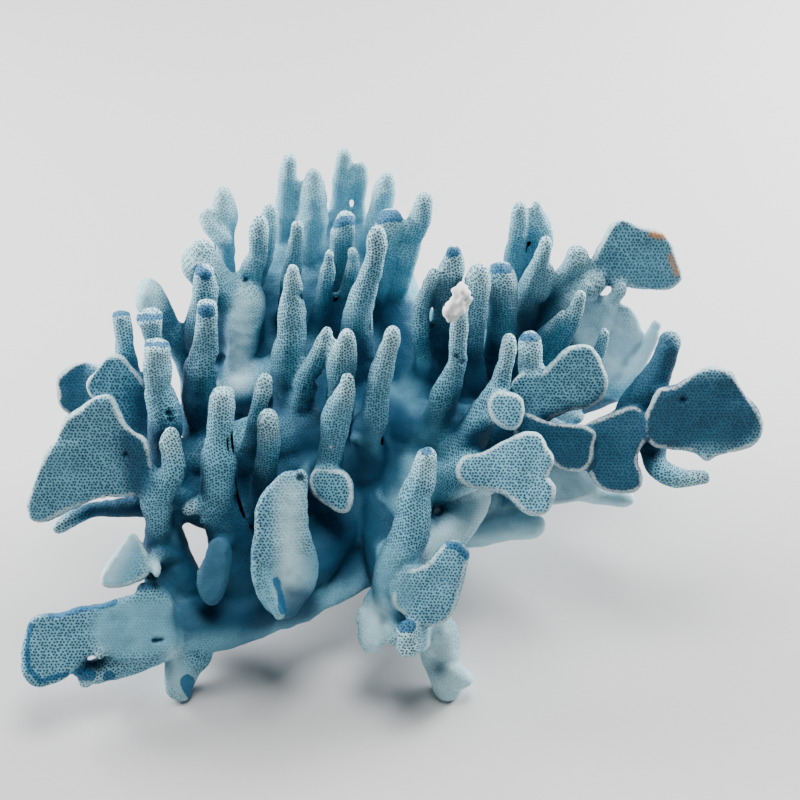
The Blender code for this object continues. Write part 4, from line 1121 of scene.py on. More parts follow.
@dataclass
class FrontFoot(Branch):
    """The foot under the front, with its knob and lump."""

    name: str = "front_foot"
    shapes: tuple[Shape, ...] = (
        Rod(((17, -102, 4.8), (16, -96, 5.6), (14.5, -89, 7), (13, -82, 7.8), (10, -76, 8), (5, -69, 8),
            (0, -62, 9)), (32, 24)),
        Rod(((24.8, -96.2, 3.3), (20, -95, 4.4), (15, -91, 5)), (26, 27)),
        Rod(((18, -81, 3.8), (13, -79, 6), (8, -74, 7)), (25, 24)),
        Rod(((2.3, -79, 3.9), (3.5, -80, 4.1), (6, -78, 5)), (2, 18), blunt=True),
        Rod(((2.3, -84, 3.9), (3.5, -83.5, 4), (6, -82, 4.6)), (3, 18), blunt=True),
        Rod(((-10, -87, 3.6), (-9.8, -82, 4.6), (-9, -77, 5.2), (-6.5, -70, 6), (-3, -64, 6)), (16, 24)),
        Rod(((-14.6, -76.5, 2.6), (-11, -74, 4), (-7, -72, 5)), (18, 22)),
        Rod(((-3.6, -83.6, 2.8), (-2.4, -79, 4.4), (0, -72, 6)), (14, 20)),
    )


@dataclass
class LowRightArms(Branch):
    """Two low arms that lean out behind the right."""

    name: str = "low_right_arms"
    shapes: tuple[Shape, ...] = (
        Rod(((49.5, -42.7, 4.2), (45, -42.7, 4.9), (36, -43.5, 5.5), (24, -45, 6.5), (10, -44, 8)),
            (62, 74)),
        Rod(((80, -34, 3), (75, -34, 3.5), (69, -32.5, 3.6), (62, -30, 5), (52, -29.5, 6.5),
            (40, -32, 7.5), (24, -37, 9)), (54, 74)),
        Blade(((50, -20), (58, -21), (64, -23), (68, -29), (62, -33), (54, -35), (46, -34), (42, -26)),
            56, half_thick=3.5),
    )


@dataclass
class RightFan(Branch):
    """Two fans and a blunt finger at the right."""

    name: str = "right_fan"
    shapes: tuple[Shape, ...] = (
        Blade(((50, 10), (53, 13.5), (57, 17), (60.5, 18.3), (64, 18), (66.7, 15), (68.6, 11), (70.2, 6),
            (69.6, 2), (67, -1), (63, -2.7), (58, -3), (53, -5), (49, -7), (46, -6.5), (41, -3), (38, 2),
            (39, 7), (43, 9), (47.5, 8.5)), 18, half_thick=2.3, lean_up=-0.35),
        Rod(((44.7, 23, 3.6), (44.6, 18, 4.3), (44.8, 11, 4.4), (44.5, 3, 5), (42, -6, 6), (38, -14, 8)),
            (13, 38)),
        Blade(((40, -5), (44, -5.2), (48, -7), (53, -8.3), (58, -8.6), (62, -9), (65, -10.5), (66.4, -12),
            (65.3, -15), (65, -19.5), (63.4, -22.7), (61, -24), (57.5, -23.7), (53.5, -22), (51, -19),
            (46, -16), (40, -14)), 16, half_thick=2.3, lean_across=-0.2, lean_up=-0.3),
        Rod(((54, -14, 4), (46, -12, 6), (36, -14, 8)), (20, 38)),
    )


@dataclass
class FarRightArm(Branch):
    """The arm at the far right: finger, fan and lower curl round a hole."""

    name: str = "far_right_arm"
    shapes: tuple[Shape, ...] = (
        Rod(((92.6, 23, 3.6), (92, 18.5, 4.4), (89.5, 12, 4.5), (87, 7, 5.2), (83, 2, 5.8), (80, -4, 6.5),
            (77, -10, 7), (68, -15, 7.5), (58, -16, 8), (46, -14, 8)), (8, 46)),
        Rod(((92, -9, 5), (84, -6, 6.5), (77, -8, 6.5)), (16, 30)),
        Rod(((93.6, 4, 2.2), (91, 0, 3.6)), (6, 10)),
        Blade(((88, 3), (91, 3.5), (94, 4.2), (98, 7.2), (101.5, 9.7), (105, 10.6), (109, 10.2),
            (112.5, 8), (115.5, 4), (118.5, -0.5), (121.5, -5), (123.3, -9.5), (122.7, -12.8),
            (120, -15.2), (115, -17), (110, -18), (107.6, -18.8), (105.8, -20.6), (104.2, -19.4),
            (103.4, -17.6), (98, -16.8), (92, -16.2), (87, -15), (84, -8)), 9, half_thick=2.2,
            lean_across=-0.1, lean_up=-0.3),
        Rod(((106, -26.2, 2.7), (98, -27, 3.2), (92, -25.8, 3.8), (87.5, -22, 4.2), (86.5, -16, 5)),
            (13, 22)),
    )


@dataclass
class RightDarkPlate(Branch):
    """The shaded plate under the far right arm."""

    name: str = "right_dark_plate"
    shapes: tuple[Shape, ...] = (
        Blade(((67, -7.5), (71, -6), (74.5, -4.3), (78.5, -2.8), (81.5, -3.6), (83.7, -7), (83.3, -12),
            (81.3, -17), (80.2, -21), (81.9, -26), (81.4, -30), (76, -31.3), (70, -30.5), (66.5, -27),
            (64.5, -22), (63, -15), (64, -9)), 16, half_thick=2.2, lean_across=-0.3),
        Rod(((73, -16, 3), (66, -15, 5), (58, -14, 7)), (18, 36)),
    )


@dataclass
class BackRightFan(Branch):
    """The fan and pale wall at the back right."""

    name: str = "back_right_fan"
    shapes: tuple[Shape, ...] = (
        Blade(((66, 44), (67, 49), (69.5, 54.5), (72, 59), (74.5, 60.9), (77, 60.4), (80.5, 58.6),
            (85, 57.3), (89, 56.4), (91.5, 54), (93.5, 50), (95.5, 45.5), (96.7, 41.8), (94.5, 39.5),
            (91, 38.1), (87, 38.5), (82, 39.1), (77.5, 40), (71, 40)), 38, half_thick=2.2, lean_up=-0.5),
        Rod(((75, 47, 2.5), (69, 42, 3.5), (64, 36, 4.5), (58, 24, 6)), (42, 60)),
        Rod(((76.7, 39.8, 2), (74.8, 36.5, 2.8), (72.5, 33, 3.1), (70, 26, 4)), (36, 48)),
        Blade(((60, 33), (65, 35), (68, 33.5), (71, 31.4), (75, 31.5), (78.4, 29.6), (80.8, 25.6),
            (81.4, 22.5), (79.6, 17), (78.4, 12), (77, 7), (72, 5), (66, 9), (61, 16), (58, 22),
            (58, 28)), 52, half_thick=4.2, lean_up=-0.7),
        Rod(((88.4, 27.4, 2), (87, 23.5, 2.3), (84.4, 18.5, 2.8), (80.6, 12, 4), (77, 4, 5)), (46, 60)),
        Rod(((74, 24, 5), (72, 14, 7), (66, 6, 8)), (52, 68)),
    )


@dataclass
class RightBackFingers(Branch):
    """The thicket of fingers at the right back."""

    name: str = "right_back_fingers"
    shapes: tuple[Shape, ...] = (
        Rod(((59.8, 52.4, 3.6), (60.5, 48, 4.4), (58.6, 44, 4.6), (54.5, 39, 4.8), (50, 32, 5.2),
            (46, 22, 6), (43, 12, 7)), (32, 74)),
        Rod(((69.6, 41, 3.2), (66, 39.3, 4), (61, 36, 4.3), (56, 30, 4.8), (50, 24, 6)), (34, 56)),
        Rod(((41, 67.7, 2.7), (40.8, 62, 3.6), (39.8, 55, 3.5), (38.8, 48, 3.8), (38, 38, 4.6),
            (37, 24, 6)), (34, 76)),
        Rod(((46.3, 68.2, 1.8), (46.6, 64.5, 2.6), (48, 59, 3.9), (48.3, 53, 4.2), (46.5, 44, 4.6)),
            (38, 60)),
        Rod(((50, 55.7, 2.1), (49.3, 51.5, 2.8), (47.5, 46, 3.6), (45, 39, 4.6), (41.5, 31, 5.8),
            (38, 20, 6.5), (36, 8, 8)), (24, 74)),
        Rod(((51.2, 46.8, 1.8), (50.8, 42, 2.4), (48, 36, 3.2)), (34, 42)),
        Rod(((34.5, 46.9, 4.2), (35, 42, 5.3), (35, 34, 5.2), (35, 22, 6), (35, 10, 7)), (22, 60)),
    )


@dataclass
class RightSlimFingers(Branch):
    """Slim fingers between the thicket and the fans."""

    name: str = "right_slim_fingers"
    shapes: tuple[Shape, ...] = (
        Rod(((62, 37.2, 2), (61, 32.5, 2.7), (58, 26, 3.2), (54.5, 19, 3.5), (51.5, 13, 3.8), (48, 4, 5),
            (46, -6, 7)), (22, 62)),
        Rod(((56.5, 30, 2.2), (52, 25, 3), (48, 19, 3.4), (44, 8, 4.6), (44, 0, 6)), (28, 60)),
        Rod(((63, -5.8, 2.8), (56, -4.6, 4.4), (48, -4, 6)), (44, 56)),
        Rod(((70, 24.2, 1.8), (69.4, 20, 2.4), (67.7, 15.5, 2.8), (66, 10, 3.1), (62, 2, 4), (54, -4, 6)),
            (26, 56)),
    )


BRANCHES: tuple[type[Branch], ...] = (
    Base,
    LeftArm,
    LeftWall,
    LeftFan,
    LeftBackFan,
    LeftFingers,
    LeftBrokenFingers,
    BackLeftFingers,
    FrontLeftFinger,
    FrontLeftPair,
    FrontSlab,
    MiddleLeftFingers,
    MiddleFingers,
    FrontMiddleFinger,
    CentreFinger,
    BackCrownLeft,
    BackCrown,
    BackCrownRight,
    RightMiddleFingers,
    CrustedFinger,
    RightFrontFan,
    FrontFinger,
    FrontFoot,
    LowRightArms,
    RightFan,
    FarRightArm,
    RightDarkPlate,
    BackRightFan,
    RightBackFingers,
    RightSlimFingers,
)


# The colony's skin.


@dataclass(frozen=True)
class SkinSizes:
    """How the skin is grown, in millimetres.

    Args:
        voxel: Size of the skin's squares.
        web: Gaps narrower than twice this are webbed shut.
        smoothing: How many times the webbed skin is smoothed.
        swell: Height of the broad swellings.
        swell_width: Breadth of the broad swellings.
        lump: Height of the small lumps.
        lump_width: Breadth of the small lumps.
        crumb: Height of the crust's crumbs.
        crumb_width: Breadth of the crust's crumbs.
        crumb_reach: How far outside a crust's spot its crumbs still lie.
    """

    voxel: float = 0.9
    web: float = 0.8
    smoothing: int = 4
    swell: float = 0.9
    swell_width: float = 9.0
    lump: float = 0.3
    lump_width: float = 3.2
    crumb: float = 1.3
    crumb_width: float = 1.7
    crumb_reach: float = 0.5

    def steps_over(self, area: float) -> int:
        """Finds how many steps of evening reach over an area, in square millimetres."""
        return round(area / self.voxel**2)

    def rise(self, at: Vector, crusted: bool) -> float:
        """Finds how far the roughened skin stands out at a point.

        Args:
            at: The point, in millimetres.
            crusted: Whether it lies in crust.

        Returns:
            Millimetres, below 0 where the skin is drawn in.
        """
        rise = self.swell * noise.noise(at / self.swell_width) + self.lump * noise.noise(
            at / self.lump_width
        )
        return rise + self.crumb * noise.noise(at / self.crumb_width) if crusted else rise


@dataclass(frozen=True)
class Corners:
    """Which points and faces the corners of a mesh's faces belong to.

    Args:
        points: Each corner's point.
        starts: Each face's first corner.
        totals: How many corners each face has.
    """

    points: np.ndarray
    starts: np.ndarray
    totals: np.ndarray

    @classmethod
    def of(cls, mesh: bpy.types.Mesh) -> Corners:
        """Reads a mesh's corners."""
        return cls(
            read(mesh.loops, "vertex_index", kind=int),
            read(mesh.polygons, "loop_start", kind=int),
            read(mesh.polygons, "loop_total", kind=int),
        )

    def from_faces(self, values: np.ndarray) -> np.ndarray:
        """Gives each corner the value of its face."""
        return np.repeat(values, self.totals, axis=0)


class Skin:
    """The colony's whole surface, with what its finish reads at each point."""

    def __init__(self, branches: Sequence[Branch], sizes: SkinSizes) -> None:
        """Grows the branches together and measures the surface.

        Args:
            branches: The colony's branches.
            sizes: How the skin is grown.
        """
        self.branches = branches
        self.sizes = sizes
        found = [
            (number, shape, sample)
            for number, branch in enumerate(branches)
            for shape in branch.shapes
            for sample in shape.samples()
        ]
        self.samples = [sample for _, _, sample in found]
        self.owners = np.array([number for number, _, _ in found])
        self.shapes = [shape for _, shape, _ in found]
        self.tree = kdtree.KDTree(len(found))
        for index, sample in enumerate(self.samples):
            self.tree.insert(sample.centre, index)
        self.tree.balance()
        self.mesh = bpy.data.meshes.new("skin")
        with edited(self.mesh) as bm:
            for branch in branches:
                branch.add_to(bm)
        self.remesh()
        for distance in (sizes.web, -sizes.web):
            self.push_out(distance)
            self.remesh()
        self.drop_pockets()
        self.smooth(sizes.smoothing)
        self.fit()
        self.roughen()
        self.cut_flat()
        log.info("skin: %d faces", len(self.mesh.polygons))
        self.measure()

    def remesh(self) -> None:
        """Makes the surface anew from even squares."""
        obj = in_scene("skin", self.mesh)
        modifier = obj.modifiers.new("squares", "REMESH")
        modifier.mode = "VOXEL"
        modifier.voxel_size = self.sizes.voxel * MM
        graph = bpy.context.evaluated_depsgraph_get()
        self.mesh = bpy.data.meshes.new_from_object(obj.evaluated_get(graph))
        bpy.data.objects.remove(obj)

    def drop_pockets(self) -> None:
        """Removes all but the largest body of the surface, such as pockets inside the stone."""
        first, second = self.ends().T
        body = np.arange(len(self.mesh.vertices))
        while (body[first] != body[second]).any():
            lower = np.minimum(body[first], body[second])
            np.minimum.at(body, body[first], lower)
            np.minimum.at(body, body[second], lower)
            body = body[body]
        largest = np.bincount(body).argmax()
        with edited(self.mesh) as bm:
            bm.verts.ensure_lookup_table()
            others = [bm.verts[index] for index in np.flatnonzero(body != largest)]
            bmesh.ops.delete(bm, geom=others, context="VERTS")
        log.info("pockets removed: %d points", len(others))

    def points(self) -> np.ndarray:
        """Reads the surface's points, in metres."""
        return read(self.mesh.vertices, "co", 3)

    def normals(self) -> np.ndarray:
        """Reads the surface's normals."""
        return read(self.mesh.vertex_normals, "vector", 3)

    def ends(self) -> np.ndarray:
        """Reads the points at the ends of the surface's edges."""
        return read(self.mesh.edges, "vertices", 2, int)

    def push_out(self, distance: float | np.ndarray) -> None:
        """Moves the surface outwards.

        Args:
            distance: How far, in millimetres, everywhere or at each point.
        """
        away = np.broadcast_to(distance * MM, len(self.mesh.vertices))
        places = self.points() + self.normals() * away[:, None]
        self.mesh.vertices.foreach_set("co", places.ravel())
        self.mesh.update()

    def smooth(self, steps: int) -> None:
        """Evens out the surface.

        Args:
            steps: How many times.
        """
        with edited(self.mesh) as bm:
            for _ in range(steps):
                bmesh.ops.smooth_vert(
                    bm, verts=bm.verts, factor=0.5, use_axis_x=True, use_axis_y=True, use_axis_z=True
                )

    def roughen(self) -> None:
        """Raises broad swellings and small lumps, and sinks the pits."""
        on_crown = self.on_crown()
        crusted = (nearest_spot(Mark.CRUST, on_crown) < self.sizes.crumb_reach).tolist()
        places = (self.points() / MM).tolist()
        rise = [self.sizes.rise(Vector(place), crust) for place, crust in zip(places, crusted)]
        sunk = PIT_DEPTH * np.clip(0.5 - nearest_spot(Mark.PIT, on_crown), 0.0, 1.0)
        self.push_out(np.array(rise) - sunk)

    def on_crown(self) -> np.ndarray:
        """Finds how far across, up and behind the crown's face each point is, in millimetres."""
        away = self.points() / MM - np.array(FACE_MIDDLE)
        behind = away @ np.array(BEHIND)
        spread = 1.0 + behind * SPREAD
        return np.stack([away @ np.array(ACROSS) / spread, away @ np.array(UP_FACE) / spread, behind], 1)

    def cut_flat(self) -> None:
        """Cuts off what is below the floor and closes the cut."""
        with edited(self.mesh) as bm:
            geom = [*bm.verts, *bm.edges, *bm.faces]
            cut = bmesh.ops.bisect_plane(
                bm, geom=geom, plane_co=(0, 0, 0), plane_no=(0, 0, 1), clear_inner=True
            )
            bmesh.ops.holes_fill(bm, edges=pick(cut["geom_cut"], bmesh.types.BMEdge), sides=0)
            bmesh.ops.triangulate(bm, faces=[face for face in bm.faces if len(face.verts) > 4])

    def nearest(self) -> tuple[np.ndarray, np.ndarray]:
        """Finds each point's nearest sample.

        Returns:
            The samples' numbers, and how far each point lies outside its sample's skin, in millimetres.
        """
        found = np.empty(len(self.mesh.vertices), int)
        outside = np.empty(len(found))
        for index, point in enumerate((self.points() / MM).tolist()):
            outside[index], found[index] = min(
                (distance - self.samples[number].width, number)
                for _, number, distance in self.tree.find_n(point, NEIGHBOURS)
            )
        return found, outside

    def fit(self) -> None:
        """Pushes the surface out to the branches' full widths where smoothing has drawn it in."""
        _, outside = self.nearest()
        self.push_out(np.clip(-outside, 0.0, MOST_PUSH))
        self.smooth(1)

    def measure(self) -> None:
        """Finds what each point's finish reads, from the nearest sample of the branches."""
        nearest, _ = self.nearest()
        on_crown = self.on_crown()
        known = [(sample.tip, float(sample.place is Place.PLATE)) for sample in self.samples]
        evened = self.evened(np.array(known)[nearest], self.sizes.steps_over(EVENED_AREA))
        kept = {
            "tip": evened[:, 0],
            "plate": evened[:, 1],
            "depth": on_crown[:, 2],
            "rim": self.to_rim(nearest),
            "shelter": self.shelter(),
            "convex": self.convexity(),
        }
        kept.update({kind.value: nearest_spot(kind, on_crown) for kind in Mark})
        for name, values in kept.items():
            self.mesh.attributes.new(name, "FLOAT", "POINT").data.foreach_set("value", values)
        self.lay_pores(nearest)
        normals = self.mesh.attributes.new("seam_normal", "FLOAT_VECTOR", "POINT")
        normals.data.foreach_set("vector", self.normals().ravel())
        self.part(nearest)

    def part(self, nearest: np.ndarray) -> None:
        """Numbers the faces by the branch that they belong to.

        Args:
            nearest: Each point's nearest sample.
        """
        corners = Corners.of(self.mesh)
        face_of = corners.from_faces(np.arange(len(corners.starts)))
        order = np.argsort(corners.points, kind="stable")
        first = np.searchsorted(corners.points[order], np.arange(len(nearest)))
        points = np.zeros((len(nearest), len(self.branches)), np.float32)
        points[np.arange(len(nearest)), self.owners[nearest]] = 1.0
        for _ in range(PARTING_ROUNDS):
            belongs = np.add.reduceat(points[corners.points], corners.starts) / corners.totals[:, None]
            points = np.add.reduceat(belongs[face_of[order]], first)
            points /= points.sum(1)[:, None]
        self.mesh.polygons.foreach_set("material_index", belongs.argmax(1))

    def evened(self, values: np.ndarray, steps: int) -> np.ndarray:
        """Evens values out along the surface.

        Args:
            values: A row of numbers for each point.
            steps: How many times.

        Returns:
            The evened values.
        """
        ends = self.ends()
        near, far = np.concatenate([ends, ends[:, ::-1]]).T
        count = len(values)
        linked = np.maximum(np.bincount(near, minlength=count), 1)[:, None]
        for _ in range(steps):
            pulled = [np.bincount(near, column[far], count) for column in values.T]
            values = (1 - EVEN_SHARE) * values + EVEN_SHARE * np.stack(pulled, 1) / linked
        return values

    def convexity(self) -> np.ndarray:
        """Measures how far each point stands out of its surroundings.

        Returns:
            Millimetres, below 0 in a hollow.
        """
        points = self.points()
        evened = self.evened(points, self.sizes.steps_over(CONVEX_AREA))
        return ((points - evened) * self.normals()).sum(1) / MM

    def to_rim(self, nearest: np.ndarray) -> np.ndarray:
        """Measures how far points on the thin plates are from the plate's outline.

        Args:
            nearest: Each point's nearest sample.

        Returns:
            Millimetres, FAR off the plates.
        """
        owner = np.array([id(shape) for shape in self.shapes])[nearest]
        points = self.points() / MM
        found = np.full(len(points), FAR)
        blades = {id(shape): shape for shape in self.shapes if isinstance(shape, Blade)}
        for key, blade in blades.items():
            if blade.half_thick > THIN or not blade.pale_rim:
                continue
            own = np.flatnonzero(owner == key)
            back = np.array(blade.lie().inverted())
            flat = (points[own] @ back[:3, :3].T + back[:3, 3])[:, :2]
            corners = np.array([tuple(corner)[:2] for corner in blade.rim()])
            for start, end in zip(corners, np.roll(corners, -1, axis=0)):
                found[own] = np.minimum(found[own], to_line(flat, start, end))
        return found

    def shelter(self) -> np.ndarray:
        """Measures how much the stone around each point shuts it in, which the stone's painted shade
        follows.

        Returns:
            From 0 in the open to 1 where it is shut in all round.
        """
        points = self.points()
        normals = self.normals()
        faces = [tuple(face.vertices) for face in self.mesh.polygons]
        tree = BVHTree.FromPolygons(points.tolist(), faces)
        turn = math.pi * (3 - math.sqrt(5))
        rays = []
        for index in range(RAYS):
            height = 1 - (2 * index + 1) / RAYS
            out = math.sqrt(1 - height**2)
            rays.append(Vector((out * math.cos(turn * index), out * math.sin(turn * index), height)))
        chosen = np.random.default_rng(SHELTER_SEED).permutation(len(points))[:SHELTER_POINTS]
        values = np.zeros((len(points), 2))
        for index in chosen.tolist():
            normal = Vector(normals[index])
            start = Vector(points[index]) + normal * MM
            aim = normal * OUTWARD + OPEN_SKY
            hits = [tree.ray_cast(start, aim + ray, SHELTER_REACH * MM)[0] for ray in rays]
            values[index] = sum(hit is not None for hit in hits) / RAYS, 1.0
        values = self.evened(values, self.sizes.steps_over(SHELTER_AREA))
        return values[:, 0] / np.maximum(values[:, 1], TINY)

    def lay_pores(self, nearest: np.ndarray) -> None:
        """Lays a flat map on the surface, in millimetres, that the rows of pores follow.

        Args:
            nearest: Each point's nearest sample.
        """
        corners = Corners.of(self.mesh)
        first = corners.from_faces(corners.starts)
        owner = nearest[corners.points[first]]
        points = self.points()[corners.points] / MM

        samples = self.samples
        along = np.array([sample.along for sample in samples])[owner]
        side = np.array([sample.side for sample in samples])[owner]
        centre = np.array([sample.centre for sample in samples])[owner]
        start = np.array([sample.start for sample in samples])[owner]
        width = np.array([sample.width for sample in samples])[owner]
        taper = np.array([sample.taper for sample in samples])[owner]
        plate = np.array([sample.place is Place.PLATE for sample in samples])[owner]
        third = np.cross(along, side)

        away = points - centre
        forth = (away * along).sum(1)
        over = (away * side).sum(1)
        angle = np.arctan2((away * third).sum(1), over)
        turned = angle - angle[first]
        angle = angle[first] + (turned + math.pi) % (2 * math.pi) - math.pi
        around = angle * np.maximum(width + taper * forth, LEAST_ROUND)
        flat = np.stack([start[:, 0] + forth, np.where(plate, start[:, 1] + over, around)], 1)

        facing = corners.from_faces(read(self.mesh.polygons, "normal", 3))
        off_plate = np.abs((facing * third).sum(1)) < ON_PLATE
        over_tip = np.abs((facing * along).sum(1)) > ACROSS_TIP
        slanted = np.where(plate, off_plate, over_tip)
        axes = np.array([ACROSS, UP_FACE, BEHIND])
        on_axes = points @ axes.T
        main_axis = np.abs(facing @ axes.T).argmax(1)
        for axis in range(3):
            chosen = slanted & (main_axis == axis)
            flat[chosen] = np.delete(on_axes[chosen], axis, axis=1)
        layer = self.mesh.uv_layers.new(name="pores")
        layer.data.foreach_set("uv", (flat * MAP_SCALE).ravel())


def split_off(skin: Skin) -> list[bpy.types.Object]:
    """Parts the skin into one open piece for each branch.

    Args:
        skin: The colony's skin.

    Returns:
        The branches' pieces, in the branches' order.
    """
    whole = in_scene("skin", skin.mesh)
    for branch in skin.branches:
        skin.mesh.materials.append(bpy.data.materials.new(branch.name))
    bpy.context.view_layer.objects.active = whole
    whole.select_set(True)
    bpy.ops.object.mode_set(mode="EDIT")
    bpy.ops.mesh.separate(type="MATERIAL")
    bpy.ops.object.mode_set(mode="OBJECT")
    pieces = {}
    for piece in list(bpy.context.selected_objects):
        number = piece.data.polygons[0].material_index
        branch = piece.data.materials[number].name if number < len(piece.data.materials) else ""
        pieces[branch] = piece
        piece.select_set(False)
    return [pieces[branch.name] for branch in skin.branches]


def add_lining(bm: bmesh.types.BMesh) -> None:
    """Closes a branch's mesh with a coarser lining just under its surface.

    Args:
        bm: The mesh, open where it was parted from its neighbours.
    """
    for vert in list(bm.verts):
        open_edges = [edge for edge in vert.link_edges if edge.is_boundary]
        if len(open_edges) > 2:
            bmesh.utils.vert_separate(vert, open_edges)
    bm.normal_update()
    outward = {tuple(vert.co): vert.normal.copy() for vert in bm.verts}
    rim = {tuple(vert.co) for vert in bm.verts if vert.is_boundary}
    everything = [*bm.verts, *bm.edges, *bm.faces]
    grown = bmesh.ops.extrude_face_region(bm, geom=everything, use_keep_orig=True)["geom"]
    inner = pick(grown, bmesh.types.BMVert)
    places = {vert: tuple(vert.co) for vert in inner}
    free = set()
    for vert in inner:
        if not any(places.get(edge.other_vert(vert), places[vert]) in rim for edge in vert.link_edges):
            free.add(vert)
    for vert in inner:
        vert.co -= outward[places[vert]] * (SHELL * MM)
        vert.co.z = max(vert.co.z, 0.0)
    edges = [edge for edge in bm.edges if free.issuperset(edge.verts)]
    bmesh.ops.dissolve_limit(bm, angle_limit=LINING_ANGLE, verts=list(free), edges=edges)
    many_sided = []
    for face in bm.faces:
        sides = len(face.verts)
        if sides > 4 or (sides == 4 and any(len(vert.link_edges) == 2 for vert in face.verts)):
            many_sided.append(face)
    bmesh.ops.poke(bm, faces=many_sided)
    bmesh.ops.recalc_face_normals(bm, faces=bm.faces)


def close_seams(piece: bpy.types.Object) -> None:
    """Closes the piece's open seams under the surface.

    Args:
        piece: A branch's piece, open where it was parted from its neighbours.
    """
    with edited(piece.data) as bm:
        add_lining(bm)
    piece.data.shade_smooth()


class Nodes:
    """Makes a material's nodes."""

    def __init__(self, material: bpy.types.Material) -> None:
        """Starts from the material's empty tree.

        Args:
            material: The material to make nodes in.
        """
        material.use_nodes = True
        self.tree = material.node_tree
        self.tree.nodes.clear()

    def add(self, kind: str, settings: dict[str, Any] | None = None, **values: Any) -> bpy.types.Node:
        """Adds a node.

        Args:
            kind: The node's type.
            settings: Its settings, which are set first.
            values: The values or links of its sockets. An underscore stands for a space, and a
                number after two underscores picks a socket by its place.

        Returns:
            The node.
        """
        node = self.tree.nodes.new(kind)
        for name, setting in (settings or {}).items():
            setattr(node, name, setting)
        for name, value in values.items():
            key = int(name[2:]) if name.startswith("__") else name.replace("_", " ")
            socket = node.inputs[key]
            if isinstance(value, Value):
                self.tree.links.new(value.socket, socket)
            else:
                socket.default_value = value
        return node

    def value(
        self, kind: str, output: int | str = 0, settings: dict[str, Any] | None = None, **values: Any
    ) -> Value:
        """Adds a node and reads one of its outputs.

        Args:
            kind: The node's type.
            output: The output's place or name.
            settings: The node's settings.
            values: The values or links of its sockets, named as add names them.

        Returns:
            What the output gives.
        """
        return Value(self, self.add(kind, settings, **values).outputs[output])

    def number(self, name: str) -> Value:
        """Reads a value kept at each point of the surface."""
        return self.value("ShaderNodeAttribute", "Fac", {"attribute_name": name})

    def axes(self, vector: Value) -> list[Value]:
        """Parts a vector into its three numbers."""
        node = self.add("ShaderNodeSeparateXYZ", Vector=vector)
        return [Value(self, output) for output in node.outputs]

    def ramp(self, value: Value, low: float, high: float) -> Value:
        """Maps a value to 0 at low and 1 at high, easing in and out, and holds it there.

        Args:
            value: The value.
            low: Where the result is 0.
            high: Where the result is 1. It may be the lower of the two.

        Returns:
            The mapped value.
        """
        if low > high:
            return 1 - self.ramp(value, high, low)
        kind = {"interpolation_type": "SMOOTHSTEP"}
        return self.value("ShaderNodeMapRange", "Result", kind, Value=value, From_Min=low, From_Max=high)

    def mix(self, factor: Any, first: Any, second: Any) -> Value:
        """Mixes two colours.

        Args:
            factor: How much of the second.
            first: The first colour.
            second: The second colour.

        Returns:
            The mixed colour.
        """
        kind = {"data_type": "RGBA"}
        return self.value("ShaderNodeMix", 2, kind, __0=factor, __6=first, __7=second)


class Value:
    """A number that varies over the surface, with Python's operators."""

    def __init__(self, nodes: Nodes, socket: bpy.types.NodeSocket) -> None:
        """Wraps a socket.

        Args:
            nodes: The maker of the material's nodes.
            socket: The socket that gives the number.
        """
        self.nodes = nodes
        self.socket = socket

    def math(self, operation: str, first: Any, second: Any) -> Value:
        """Adds a Math node.

        Args:
            operation: What it does.
            first: Its first number.
            second: Its second number.

        Returns:
            The result.
        """
        return self.nodes.value("ShaderNodeMath", 0, {"operation": operation}, __0=first, __1=second)

    def __add__(self, other: Any) -> Value:
        """Adds."""
        return self.math("ADD", self, other)

    def __radd__(self, other: Any) -> Value:
        """Adds."""
        return self.math("ADD", other, self)

    def __sub__(self, other: Any) -> Value:
        """Takes away."""
        return self.math("SUBTRACT", self, other)

    def __rsub__(self, other: Any) -> Value:
        """Is taken away."""
        return self.math("SUBTRACT", other, self)

    def __mul__(self, other: Any) -> Value:
        """Multiplies."""
        return self.math("MULTIPLY", self, other)

    def __rmul__(self, other: Any) -> Value:
        """Multiplies."""
        return self.math("MULTIPLY", other, self)

    def __pow__(self, other: Any) -> Value:
        """Raises to a power."""
        return self.math("POWER", self, other)


# What a mark's reach, in millimetres, is mapped to 0 and to 1 at.
MARK_EDGES: dict[Mark, Range] = {
    Mark.PIT: (0.1, -0.6),
    Mark.BREAK: (0.3, -0.3),
    Mark.CRUST: (0.2, -0.3),
    Mark.RUST: (1.2, -1.0),
    Mark.BARE_AND_LIT: (4.0, -4.0),
    Mark.PAINTED_SHADE: (4.0, -3.0),
    Mark.WORN: (4.0, -3.0),
}


